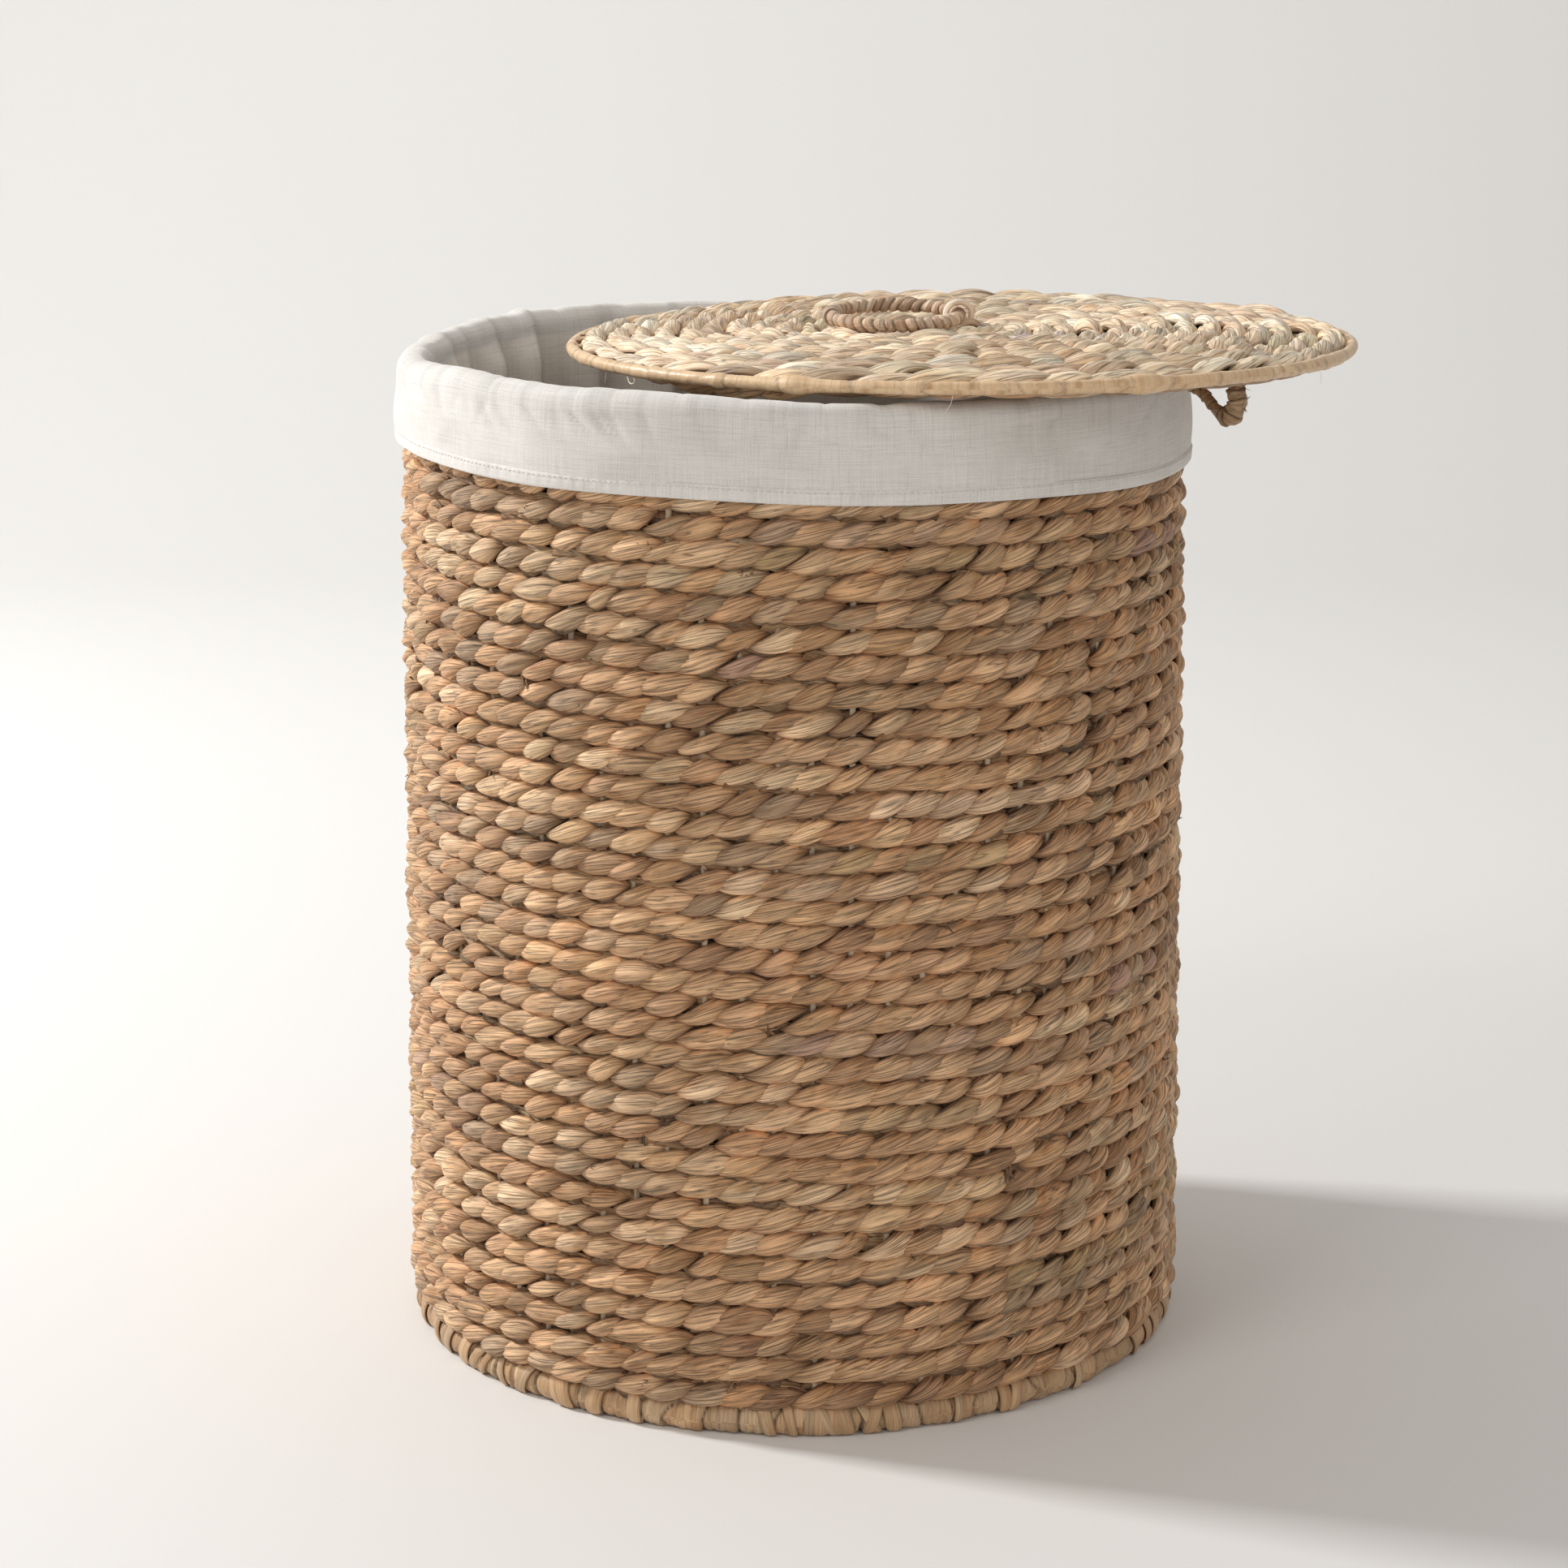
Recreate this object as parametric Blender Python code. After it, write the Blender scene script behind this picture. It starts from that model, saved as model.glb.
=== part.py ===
"""Round hand-woven laundry hamper: twined plant-fibre wall on a welded wire
cage, leaf-wrapped foot ring, removable cloth liner folded over the rim, and a
lift-off woven lid with a flip-up ring handle and four locating lugs.

Units are metres, +Z up. The origin is the centre of the base's underside, on
the basket's axis. The front of the hamper faces -Y. The lid lies on the folded
rim, pushed LID_X to the right of the closed position.
"""
import math

import bmesh
import bpy
from mathutils import Vector

# ---------------------------------------------------------------- dimensions
GAP = 0.0003            # between neighbouring pieces

WALL_R_BASE = 0.2120    # outer radius of the woven wall at the floor
WALL_R_TOP = 0.2095     # and at the rim
WALL_RUN = 0.5205       # height over which the radius changes
WALL_THICK = 0.0145
WALL_Z0 = 0.0130        # lowest course
WALL_Z1 = 0.5122        # under the rim border
BORDER_Z1 = 0.5205      # top of the woven border
STRAND_T = 0.0056       # one weaving strand, inside or outside the stakes
STAKES = 70             # uprights round the wall
SIDES = 35              # flats of every round piece of the basket and liner
STAKE_W = 0.0030        # wire, along the wall
STAKE_T = 0.0025        # wire, through the wall

FOOT_R = 0.2030         # foot ring, centre of its wire
FOOT_Z = 0.0062
FOOT_WRAP_R = 0.0060
FOOT_BORE_R = 0.0031
FOOT_WIRE = 0.0036      # square hoop inside the wrap

BASE_R = 0.1962         # woven base
BASE_T = 0.0140
BASE_WIRE_R = 0.1900
BASE_SPOKES = 14

LINER_R = 0.1942        # outside of the cloth bag
CLOTH = 0.0011
BAG_Z0 = BASE_T + GAP
BAG_Z1 = 0.4985
CUFF_R = 0.2100         # inside of the folded cuff
CUFF_TOP = 0.5222
HEM_Z = 0.4753          # lower edge of the cuff, on the axis
HEM_FALL = 0.028        # it hangs lower to the right by this slope
HEM_H = 0.0072
HEM_T = 0.0018

LID_X = 0.0900          # lid pushed to the right
LID_Z = 0.5300          # centre of the lid's rim wire
LID_R = 0.2057          # and its radius
LID_WRAP_R = 0.0044
LID_BORE_R = 0.0027
LID_WEAVE_R = 0.2008
LID_UNDER = 0.0071      # underside of the weave, below the rim wire's centre
LID_TOP = 0.0105        # crest of the weave, above it
LID_COURSES = 7
LID_SPOKES = 20
LID_WIRE_T = 0.0024

LUG_ANGLES = (45, 135, 225, 315)
LUG_IN = 0.1500
LUG_OUT = 0.1862
LUG_DROP = 0.0244       # lowest centreline, below the rim wire's centre
LUG_WIRE_R = 0.0015
LUG_ARM_R = 0.0038
LUG_LEG_R = 0.0050

RING_R = 0.0340         # handle ring, centre of its tube
RING_WRAP_R = 0.0031
RING_CORE_R = 0.0015
LOOP_W = 0.0050         # strap that ties the ring to the lid
LOOP_T = 0.0018

# ---------------------------------------------------------------- materials
COLOURS = {
    "fibre": ((0.52, 0.36, 0.21), 0.72, 0.0),
    "fibre_inner": ((0.44, 0.30, 0.17), 0.78, 0.0),
    "leaf_wrap": ((0.55, 0.40, 0.24), 0.60, 0.0),
    "wire": ((0.42, 0.36, 0.27), 0.45, 0.8),
    "cloth": ((0.78, 0.76, 0.73), 0.92, 0.0),
    "cloth_hem": ((0.81, 0.79, 0.76), 0.92, 0.0),
    "cord": ((0.60, 0.44, 0.29), 0.70, 0.0),
}


def material(name):
    mat = bpy.data.materials.get(name)
    if mat is None:
        colour, rough, metal = COLOURS[name]
        mat = bpy.data.materials.new(name)
        mat.use_nodes = True
        shader = mat.node_tree.nodes["Principled BSDF"]
        shader.inputs["Base Color"].default_value = (*colour, 1.0)
        shader.inputs["Roughness"].default_value = rough
        shader.inputs["Metallic"].default_value = metal
        mat.diffuse_color = (*colour, 1.0)
    return mat


# ------------------------------------------------------------------- helpers
def empty(name, at, parent=None):
    obj = bpy.data.objects.new(name, None)
    obj.empty_display_size = 0.03
    bpy.context.scene.collection.objects.link(obj)
    obj.parent = parent
    obj.location = at
    return obj


def place(name, bm, mat, parent, smooth=True):
    """Turns a bmesh, built about its parent empty, into a named object."""
    bmesh.ops.recalc_face_normals(bm, faces=bm.faces)
    mesh = bpy.data.meshes.new(name)
    bm.to_mesh(mesh)
    bm.free()
    if smooth:
        mesh.shade_smooth()
        mesh.set_sharp_from_angle(angle=math.radians(40))
    mesh.materials.append(material(mat))
    obj = bpy.data.objects.new(name, mesh)
    bpy.context.scene.collection.objects.link(obj)
    obj.parent = parent
    return obj


def turned(profile, steps, closed=True, start=0.0, sweep=2 * math.pi):
    """Spins (r, z) points about Z. An open profile ends on the axis."""
    bm = bmesh.new()
    verts = [
        bm.verts.new((r * math.cos(start), r * math.sin(start), z)) for r, z in profile
    ]
    edges = [bm.edges.new(pair) for pair in zip(verts, verts[1:])]
    if closed:
        edges.append(bm.edges.new((verts[-1], verts[0])))
    out = bmesh.ops.spin(
        bm,
        geom=verts + edges,
        cent=(0, 0, 0),
        axis=(0, 0, 1),
        angle=sweep,
        steps=steps,
        use_duplicate=False,
    )
    if abs(sweep - 2 * math.pi) < 1e-9:
        bmesh.ops.remove_doubles(bm, verts=bm.verts, dist=1e-6)
    else:
        bm.faces.new(verts)
        bm.faces.new([v for v in out["geom_last"] if isinstance(v, bmesh.types.BMVert)])
    return bm


def c_section(r_mid, z_mid, r_out, r_in, half_slot, facing, n_out=12, n_in=8):
    """A split tube's section: two arcs joined at a slot that faces one way."""
    a_out = math.asin(half_slot / r_out)
    a_in = math.asin(half_slot / r_in)
    turn = math.radians(facing)
    points = []
    for radius, trim, count, way in ((r_out, a_out, n_out, 1), (r_in, a_in, n_in, -1)):
        arc = [trim + (2 * math.pi - 2 * trim) * i / (count - 1) for i in range(count)]
        for a in arc if way > 0 else reversed(arc):
            points.append(
                (
                    r_mid + radius * math.cos(turn + a),
                    z_mid + radius * math.sin(turn + a),
                )
            )
    return points


def ring_section(r_mid, z_mid, radius, sides):
    return [
        (
            r_mid + radius * math.cos(2 * math.pi * i / sides),
            z_mid + radius * math.sin(2 * math.pi * i / sides),
        )
        for i in range(sides)
    ]


def wall_radius(z):
    return WALL_R_BASE + (WALL_R_TOP - WALL_R_BASE) * min(max(z / WALL_RUN, 0), 1)


def tube(path, radii, sides, bore=None):
    """Sweeps a circle along a path in the X-Z plane. With a bore, it is an
    open-ended sleeve."""
    bm = bmesh.new()
    rings = []
    for k, (x, z) in enumerate(path):
        ahead = path[min(k + 1, len(path) - 1)]
        behind = path[max(k - 1, 0)]
        along = Vector((ahead[0] - behind[0], 0, ahead[1] - behind[1])).normalized()
        if k in (0, len(path) - 1):  # both ends are cut level
            along = Vector((0, 0, math.copysign(1, along.z)))
        side = Vector((0, 1, 0))
        up = along.cross(side)

        def circle(radius):
            return [
                bm.verts.new(
                    Vector((x, 0, z))
                    + side * radius * math.cos(2 * math.pi * i / sides)
                    + up * radius * math.sin(2 * math.pi * i / sides)
                )
                for i in range(sides)
            ]

        rings.append((circle(radii[k]), circle(bore) if bore else None))
    for (a, a_in), (b, b_in) in zip(rings, rings[1:]):
        for i in range(sides):
            j = (i + 1) % sides
            bm.faces.new((a[i], a[j], b[j], b[i]))
            if bore:
                bm.faces.new((a_in[i], b_in[i], b_in[j], a_in[j]))
    for ring, ring_in in (rings[0], rings[-1]):
        if bore:
            for i in range(sides):
                j = (i + 1) % sides
                bm.faces.new((ring[i], ring_in[i], ring_in[j], ring[j]))
        else:
            bm.faces.new(ring)
    return bm


def spoked_wheel(hub_r, rim_in, rim_out, spokes, spoke_w, z0, z1):
    """A flat welded wheel: hub disc, straight spokes and rim, made as one
    outline and extruded."""
    bm = bmesh.new()
    centre = bm.verts.new((0, 0, z0))
    loops = []
    for radius in (hub_r, rim_in, rim_out):
        half = math.asin(spoke_w / 2 / radius)
        loops.append(
            [
                bm.verts.new((radius * math.cos(a), radius * math.sin(a), z0))
                for k in range(spokes)
                for a in (
                    2 * math.pi * k / spokes - half,
                    2 * math.pi * k / spokes + half,
                )
            ]
        )
    n = 2 * spokes
    hub, inner, outer = loops
    for i in range(n):
        j = (i + 1) % n
        bm.faces.new((centre, hub[i], hub[j]))
        if i % 2 == 0:
            bm.faces.new((hub[i], inner[i], inner[j], hub[j]))
        bm.faces.new((inner[i], outer[i], outer[j], inner[j]))
    made = bmesh.ops.extrude_face_region(bm, geom=bm.faces[:])
    bmesh.ops.translate(
        bm,
        verts=[v for v in made["geom"] if isinstance(v, bmesh.types.BMVert)],
        vec=(0, 0, z1 - z0),
    )
    return bm


def wire_cage():
    """Foot hoop, upright stakes and top hoop, welded into one piece. Hoops and
    stakes share their corner points, so the piece is one closed surface."""
    bm = bmesh.new()
    n = 2 * STAKES
    f = FOOT_WIRE / 2
    top_mid = wall_radius(WALL_Z1) - WALL_THICK / 2
    t = STAKE_T / 2

    def corners(radius, z):
        """Two points on each side of every stake, on the flats of the hoops."""
        half = math.asin(STAKE_W / 2 / radius)
        flat = 2 * math.pi / SIDES
        points = []
        for k in range(STAKES):
            for a in (2 * math.pi * k / STAKES - half, 2 * math.pi * k / STAKES + half):
                off = (a + flat / 2) % flat - flat / 2
                off = flat / 2 - abs(off)
                r = radius * math.cos(flat / 2) / math.cos(off)
                points.append(bm.verts.new((r * math.cos(a), r * math.sin(a), z)))
        return points

    def hoop(mid, half_t, z0, z1, open_face):
        lo_in, lo_out = corners(mid - half_t, z0), corners(mid + half_t, z0)
        hi_in, hi_out = corners(mid - half_t, z1), corners(mid + half_t, z1)
        for i in range(n):
            j = (i + 1) % n
            bm.faces.new((lo_in[i], lo_in[j], hi_in[j], hi_in[i]))
            bm.faces.new((lo_out[i], hi_out[i], hi_out[j], lo_out[j]))
            if not (open_face == "low" and i % 2 == 0):
                bm.faces.new((lo_in[i], lo_out[i], lo_out[j], lo_in[j]))
            if not (open_face == "high" and i % 2 == 0):
                bm.faces.new((hi_in[i], hi_in[j], hi_out[j], hi_out[i]))
        return (lo_in, lo_out) if open_face == "low" else (hi_in, hi_out)

    # the hoop's upper corners are STAKE_T apart, so that the stakes stand on it
    levels = [hoop(FOOT_R, t, FOOT_Z - f, FOOT_Z + f, "high")]
    # upright through the wrap's slot, then a short step out to the wall
    z = FOOT_Z + FOOT_WRAP_R + 0.0004
    levels.append((corners(FOOT_R - t, z), corners(FOOT_R + t, z)))
    z += 0.0029
    mid = wall_radius(z) - WALL_THICK / 2
    levels.append((corners(mid - t, z), corners(mid + t, z)))
    levels.append(hoop(top_mid, t, WALL_Z1 - 0.0040, WALL_Z1 - 0.0012, "low"))
    for (in_a, out_a), (in_b, out_b) in zip(levels, levels[1:]):
        for i in range(0, n, 2):
            j = i + 1
            bm.faces.new((in_a[i], in_a[j], in_b[j], in_b[i]))
            bm.faces.new((out_a[i], out_b[i], out_b[j], out_a[j]))
            bm.faces.new((in_a[i], in_b[i], out_b[i], out_a[i]))
            bm.faces.new((in_a[j], out_a[j], out_b[j], in_b[j]))
    # corners() leaves out the odd points of the middle level that no stake uses
    bmesh.ops.delete(
        bm, geom=[v for v in bm.verts if not v.link_faces], context="VERTS"
    )
    return bm


def shift_lower_edge(bm, limit, slope):
    """Drops the vertices below limit by slope along +X."""
    for v in bm.verts:
        if v.co.z < limit:
            v.co.z -= slope * v.co.x


# -------------------------------------------------------------------- basket
def build_basket():
    root = empty("basket_axis", (0, 0, 0))
    place("wire_cage", wire_cage(), "wire", root, smooth=False)

    wrap = c_section(
        FOOT_R, FOOT_Z, FOOT_WRAP_R, FOOT_BORE_R, STAKE_T / 2 + 0.0005, 90, 8, 6
    )
    # the wrap is pressed flat where the hamper stands on it
    wrap = [(r, max(z, 0.0)) for r, z in wrap]
    low = min(z for _, z in wrap)
    wrap = [(r, 0.0 if z < low + 0.0012 else z) for r, z in wrap]
    place("foot_ring_wrap", turned(wrap, SIDES), "leaf_wrap", root)

    def shell(out_by, in_by, z0, z1):
        """Wall layer between two depths below the wall's outside."""
        zs = (z0, z0 + 0.004, z1)
        outer = [(wall_radius(z) - out_by - (0.002 if z == z0 else 0), z) for z in zs]
        inner = [(wall_radius(z) - in_by, z) for z in reversed((z0, z1))]
        return turned(outer + inner, SIDES)

    gap_mid = (WALL_THICK - STAKE_T) / 2 - GAP
    place("weave_outer", shell(0.0, gap_mid, WALL_Z0, WALL_Z1 - 0.0002), "fibre", root)
    place(
        "weave_inner",
        shell(WALL_THICK - gap_mid, WALL_THICK, BASE_T + 0.0022, WALL_Z1 - 0.0002),
        "fibre_inner",
        root,
    )

    r_out, r_in = wall_radius(WALL_Z1), wall_radius(WALL_Z1) - WALL_THICK
    mid, half = (r_out + r_in) / 2, (r_out - r_in) / 2
    rise = BORDER_Z1 - WALL_Z1 - 0.0002
    arch = [
        (mid + half * math.cos(math.pi * i / 5), WALL_Z1 + 0.0002 + rise * math.sin(math.pi * i / 5))
        for i in range(6)
    ]
    place("rim_border", turned(arch, SIDES), "fibre", root)

    # woven base, in two layers with the welded base wires between them
    mid_z, half_w = BASE_T / 2, 0.0012
    place(
        "base_wires",
        spoked_wheel(0.016, BASE_WIRE_R - 0.003, BASE_WIRE_R, BASE_SPOKES, 0.003,
                     mid_z - half_w, mid_z + half_w),
        "wire",
        root,
        smooth=False,
    )
    lower = [
        (0, 0), (BASE_R - 0.004, 0), (BASE_R, 0.003),
        (BASE_R, mid_z - half_w - GAP), (0, mid_z - half_w - GAP),
    ]
    place("base_weave_lower", turned(lower, SIDES, closed=False), "fibre_inner", root)
    upper = [
        (0, mid_z + half_w + GAP), (BASE_R, mid_z + half_w + GAP),
        (BASE_R, BASE_T - 0.002), (BASE_R - 0.003, BASE_T), (0, BASE_T),
    ]
    place("base_weave_upper", turned(upper, SIDES, closed=False), "fibre_inner", root)


# --------------------------------------------------------------------- liner
def build_liner():
    root = empty("liner_axis", (0, 0, 0))
    bottom = [
        (0, BAG_Z0), (LINER_R - CLOTH - GAP, BAG_Z0),
        (LINER_R - CLOTH - GAP, BAG_Z0 + CLOTH), (0, BAG_Z0 + CLOTH),
    ]
    place("liner_bottom_panel", turned(bottom, SIDES, closed=False), "cloth", root)
    side = [
        (LINER_R, BAG_Z0 + 0.0012), (LINER_R, BAG_Z1),
        (LINER_R - CLOTH, BAG_Z1), (LINER_R - CLOTH, BAG_Z0 + 0.0012),
    ]
    place("liner_side_panel", turned(side, SIDES), "cloth", root)

    cuff_in, cuff_out = LINER_R - CLOTH, CUFF_R + CLOTH
    mid = (CUFF_R + LINER_R) / 2
    low_in = BAG_Z1 + GAP
    low_out = HEM_Z + HEM_H + GAP
    shoulder = 0.5130

    def arch(r_a, r_b, top):
        half = (r_b - r_a) / 2
        centre = (r_b + r_a) / 2
        return [
            (
                centre - half * math.cos(math.pi * i / 5),
                shoulder + (top - shoulder) * math.sin(math.pi * i / 5),
            )
            for i in range(6)
        ]

    outline = [(cuff_in, low_in)] + arch(cuff_in, cuff_out, CUFF_TOP)
    outline += [(cuff_out, low_out), (CUFF_R, low_out)]
    outline += list(reversed(arch(LINER_R, CUFF_R, CUFF_TOP - CLOTH)))
    outline += [(LINER_R, low_in)]
    bm = turned(outline, SIDES)
    for v in bm.verts:
        if v.co.z < low_out + 0.001 and v.co.xy.length > mid:
            v.co.z -= HEM_FALL * v.co.x
    place("liner_cuff", bm, "cloth", root)

    hem = [
        (CUFF_R - 0.0001, HEM_Z), (CUFF_R + HEM_T * 0.8, HEM_Z), (CUFF_R + HEM_T, HEM_Z + 0.002),
        (CUFF_R + HEM_T, HEM_Z + HEM_H), (CUFF_R - 0.0001, HEM_Z + HEM_H),
    ]
    bm = turned(hem, SIDES)
    shift_lower_edge(bm, 1.0, HEM_FALL)
    place("liner_hem", bm, "cloth_hem", root)


# ----------------------------------------------------------------------- lid
def lid_crest(r):
    """Crest height of the lid's weave: flat in the middle, lower at the rim."""
    fall = max(0.0, (r - 0.10) / (LID_WEAVE_R - 0.10))
    return LID_Z + LID_TOP - 0.0025 * fall * fall


def lug_path():
    """The lug's centreline as (radius, z): down, slanting out to the apex,
    round the bend and straight up. Sampled from a smooth blend of its corners."""
    top = LID_Z - LID_UNDER - 0.0004
    low = LID_Z - LUG_DROP
    corners = [
        (LUG_IN, top), (LUG_IN + 0.0008, top - 0.0035), (LUG_IN + 0.0245, low + 0.0016),
        (LUG_OUT - 0.0045, low), (LUG_OUT - 0.0006, low + 0.0040), (LUG_OUT, low + 0.0090),
        (LUG_OUT, top),
    ]
    path = [corners[0]]
    for a, b, c in zip(corners, corners[1:], corners[2:]):
        # each inner corner becomes a short quadratic curve
        for t in (0.33, 0.67):
            p = [0.35 * q + 0.65 * m for q, m in zip(a, b)]
            s = [0.35 * q + 0.65 * m for q, m in zip(c, b)]
            path.append(
                tuple(
                    (1 - t) ** 2 * p[i] + 2 * t * (1 - t) * b[i] + t * t * s[i]
                    for i in (0, 1)
                )
            )
    path.append(corners[-1])
    return path


def build_lid():
    root = empty("lid_axis", (LID_X, 0, 0))
    half_t = LID_WIRE_T / 2
    place(
        "lid_wire_frame",
        spoked_wheel(0.014, LID_R - 0.0015, LID_R + 0.0015, LID_SPOKES, 0.003,
                     LID_Z - half_t, LID_Z + half_t),
        "wire",
        root,
        smooth=False,
    )
    wrap = c_section(LID_R, LID_Z, LID_WRAP_R, LID_BORE_R, half_t + 0.0004, 180, 8, 5)
    place("lid_rim_wrap", turned(wrap, 2 * LID_SPOKES), "leaf_wrap", root)

    # upper layer, with a ridge for each pair of courses
    z_low = LID_Z + half_t + GAP
    pitch = LID_WEAVE_R / LID_COURSES
    top = [(0.0, lid_crest(0) - 0.0012)]
    for k in range(LID_COURSES):
        r = (k + 0.5) * pitch
        top.append((r, lid_crest(r)))
        if k < LID_COURSES - 1:
            top.append((r + pitch / 2, lid_crest(r + pitch / 2) - 0.0018))
    top.append((LID_WEAVE_R, LID_Z + 0.0040))
    outline = top + [(LID_WEAVE_R, z_low), (0, z_low)]
    place("lid_weave_upper", turned(outline, 2 * LID_SPOKES, closed=False), "fibre", root)

    z_high = LID_Z - half_t - GAP
    under = [
        (0, z_high), (LID_WEAVE_R, z_high), (LID_WEAVE_R, LID_Z - 0.0046),
        (LID_WEAVE_R - 0.006, LID_Z - LID_UNDER), (0, LID_Z - LID_UNDER),
    ]
    place("lid_weave_under", turned(under, 2 * LID_SPOKES, closed=False), "fibre_inner", root)

    path = lug_path()
    low = LID_Z - LUG_DROP
    radii = [
        LUG_LEG_R if r > LUG_OUT - 0.0048 and k > len(path) / 2 else LUG_ARM_R
        for k, (r, _) in enumerate(path)
    ]
    for number, angle in enumerate(LUG_ANGLES, 1):
        for kind in ("wire", "wrap"):
            if kind == "wire":
                bm = tube(path, [LUG_WIRE_R] * len(path), 6)
            else:
                bm = tube(path, radii, 8, bore=LUG_WIRE_R + 0.0005)
            obj = place(
                f"lid_lug_{kind}_{number}", bm, "wire" if kind == "wire" else "leaf_wrap", root
            )
            obj.rotation_euler = (0, 0, math.radians(angle))

    # the strap arches over the ring's tube, at the lid's centre
    tube_z = LID_Z + LID_TOP + GAP + RING_WRAP_R
    arch_r = RING_WRAP_R + 0.0004 + LOOP_T / 2
    foot = LID_Z + LID_TOP + GAP
    path = [(arch_r, foot - tube_z)]
    path += [
        (arch_r * math.cos(math.pi * i / 8), arch_r * math.sin(math.pi * i / 8))
        for i in range(9)
    ]
    path += [(-arch_r, foot - tube_z)]
    bm = bmesh.new()
    rings = []
    for k, (x, z) in enumerate(path):
        ahead, behind = path[min(k + 1, len(path) - 1)], path[max(k - 1, 0)]
        along = Vector((ahead[0] - behind[0], 0, ahead[1] - behind[1])).normalized()
        if k in (1, len(path) - 2):
            along = Vector((0, 0, 1 if k == 1 else -1))
        up = along.cross(Vector((0, 1, 0)))
        rings.append(
            [
                bm.verts.new(Vector((x, 0, z)) + Vector((0, sy * LOOP_W / 2, 0)) + up * su * LOOP_T / 2)
                for sy, su in ((-1, -1), (1, -1), (1, 1), (-1, 1))
            ]
        )
    for a, b in zip(rings, rings[1:]):
        for i in range(4):
            j = (i + 1) % 4
            bm.faces.new((a[i], a[j], b[j], b[i]))
    bm.faces.new(rings[0])
    bm.faces.new(rings[-1])
    loop = place("handle_loop", bm, "cord", root)
    loop.location = (-0.0020, 0, tube_z)


# -------------------------------------------------------------------- handle
def build_handle():
    """The ring lies to the left of its hinge, which is at the lid's centre. Its
    empty is on the hinge axis, which runs along Y through the ring's tube."""
    tube_z = LID_Z + LID_TOP + GAP + RING_WRAP_R
    hinge = empty("handle_hinge", (LID_X - 0.0020, 0, tube_z))
    core = place(
        "handle_ring_core",
        turned(ring_section(RING_R, 0, RING_CORE_R, 6), 28),
        "wire",
        hinge,
    )
    wrap = place(
        "handle_ring_wrap",
        turned(c_section(RING_R, 0, RING_WRAP_R, RING_CORE_R + 0.0005, 0.0004, 180, 8, 7), 28),
        "cord",
        hinge,
    )
    span = math.radians(16)
    knot = place(
        "handle_knot",
        turned(
            c_section(RING_R, 0, RING_WRAP_R + 0.0011, RING_WRAP_R + GAP, 0.0029, -90, 9, 9),
            4,
            start=math.pi - span / 2,
            sweep=span,
        ),
        "cord",
        hinge,
    )
    for obj in (core, wrap, knot):
        obj.location = (-RING_R, 0, 0)


def main():
    for obj in list(bpy.data.objects):
        bpy.data.objects.remove(obj, do_unlink=True)
    build_basket()
    build_liner()
    build_lid()
    build_handle()


main()
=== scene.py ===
"""Looks of the round woven laundry hamper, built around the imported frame.

Every strand of the weave is its own closed leaf-shaped body, laid in twined
courses round the wall, the lid and the base. Leaf wraps, handle winding, cloth
liner and hem are mesh work too. Materials are procedural.
"""
import math

import bpy
import numpy as np
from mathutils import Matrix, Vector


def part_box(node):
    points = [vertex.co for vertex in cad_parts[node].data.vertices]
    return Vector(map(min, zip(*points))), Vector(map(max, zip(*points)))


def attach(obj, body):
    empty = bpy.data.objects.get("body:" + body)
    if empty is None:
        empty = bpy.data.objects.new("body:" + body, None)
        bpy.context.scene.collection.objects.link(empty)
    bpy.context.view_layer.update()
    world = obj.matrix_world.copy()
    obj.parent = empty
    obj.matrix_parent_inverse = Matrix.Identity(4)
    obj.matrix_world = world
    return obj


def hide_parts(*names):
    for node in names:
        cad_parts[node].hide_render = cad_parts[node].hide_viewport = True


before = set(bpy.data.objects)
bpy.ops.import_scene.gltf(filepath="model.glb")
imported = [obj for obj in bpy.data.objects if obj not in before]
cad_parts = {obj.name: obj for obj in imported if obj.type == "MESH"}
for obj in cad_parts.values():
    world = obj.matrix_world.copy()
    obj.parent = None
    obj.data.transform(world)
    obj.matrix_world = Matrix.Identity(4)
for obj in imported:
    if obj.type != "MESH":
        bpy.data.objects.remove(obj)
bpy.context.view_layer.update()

TAU = 2 * math.pi


# ------------------------------------------------------------ places from CAD
def corners(node):
    lo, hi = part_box(node)
    return np.array(lo, float), np.array(hi, float)


wall_lo, wall_hi = corners("weave_outer")
rim_lo, rim_hi = corners("rim_border")
foot_lo, foot_hi = corners("foot_ring_wrap")
inner_lo, inner_hi = corners("weave_inner")
base_lo, base_hi = corners("base_weave_lower")
baseu_lo, baseu_hi = corners("base_weave_upper")
cuff_lo, cuff_hi = corners("liner_cuff")
hem_lo, hem_hi = corners("liner_hem")
bag_lo, bag_hi = corners("liner_side_panel")
bottom_lo, bottom_hi = corners("liner_bottom_panel")
lid_lo, lid_hi = corners("lid_rim_wrap")
lidw_lo, lidw_hi = corners("lid_weave_upper")
lidu_lo, lidu_hi = corners("lid_weave_under")
ring_lo, ring_hi = corners("handle_ring_wrap")
loop_lo, loop_hi = corners("handle_loop")

WALL_R0 = 0.2120            # at the floor, from the wall's own taper
WALL_R1 = rim_hi[0]         # at the rim
WALL_RUN = rim_hi[2]
WALL_T = 0.0145
LID_C = np.array([(lid_lo[0] + lid_hi[0]) / 2, 0.0, (lid_lo[2] + lid_hi[2]) / 2])
LID_WRAP_R = (lid_hi[2] - lid_lo[2]) / 2 + 0.0001
LID_R = (lid_hi[0] - lid_lo[0]) / 2 - LID_WRAP_R
LID_TOP = lidw_hi[2] - LID_C[2]
LID_UNDER = LID_C[2] - lidu_lo[2]
RING_TUBE = (ring_hi[2] - ring_lo[2]) / 2
RING_C = np.array([(ring_lo[0] + ring_hi[0]) / 2, 0.0, (ring_lo[2] + ring_hi[2]) / 2])
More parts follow.
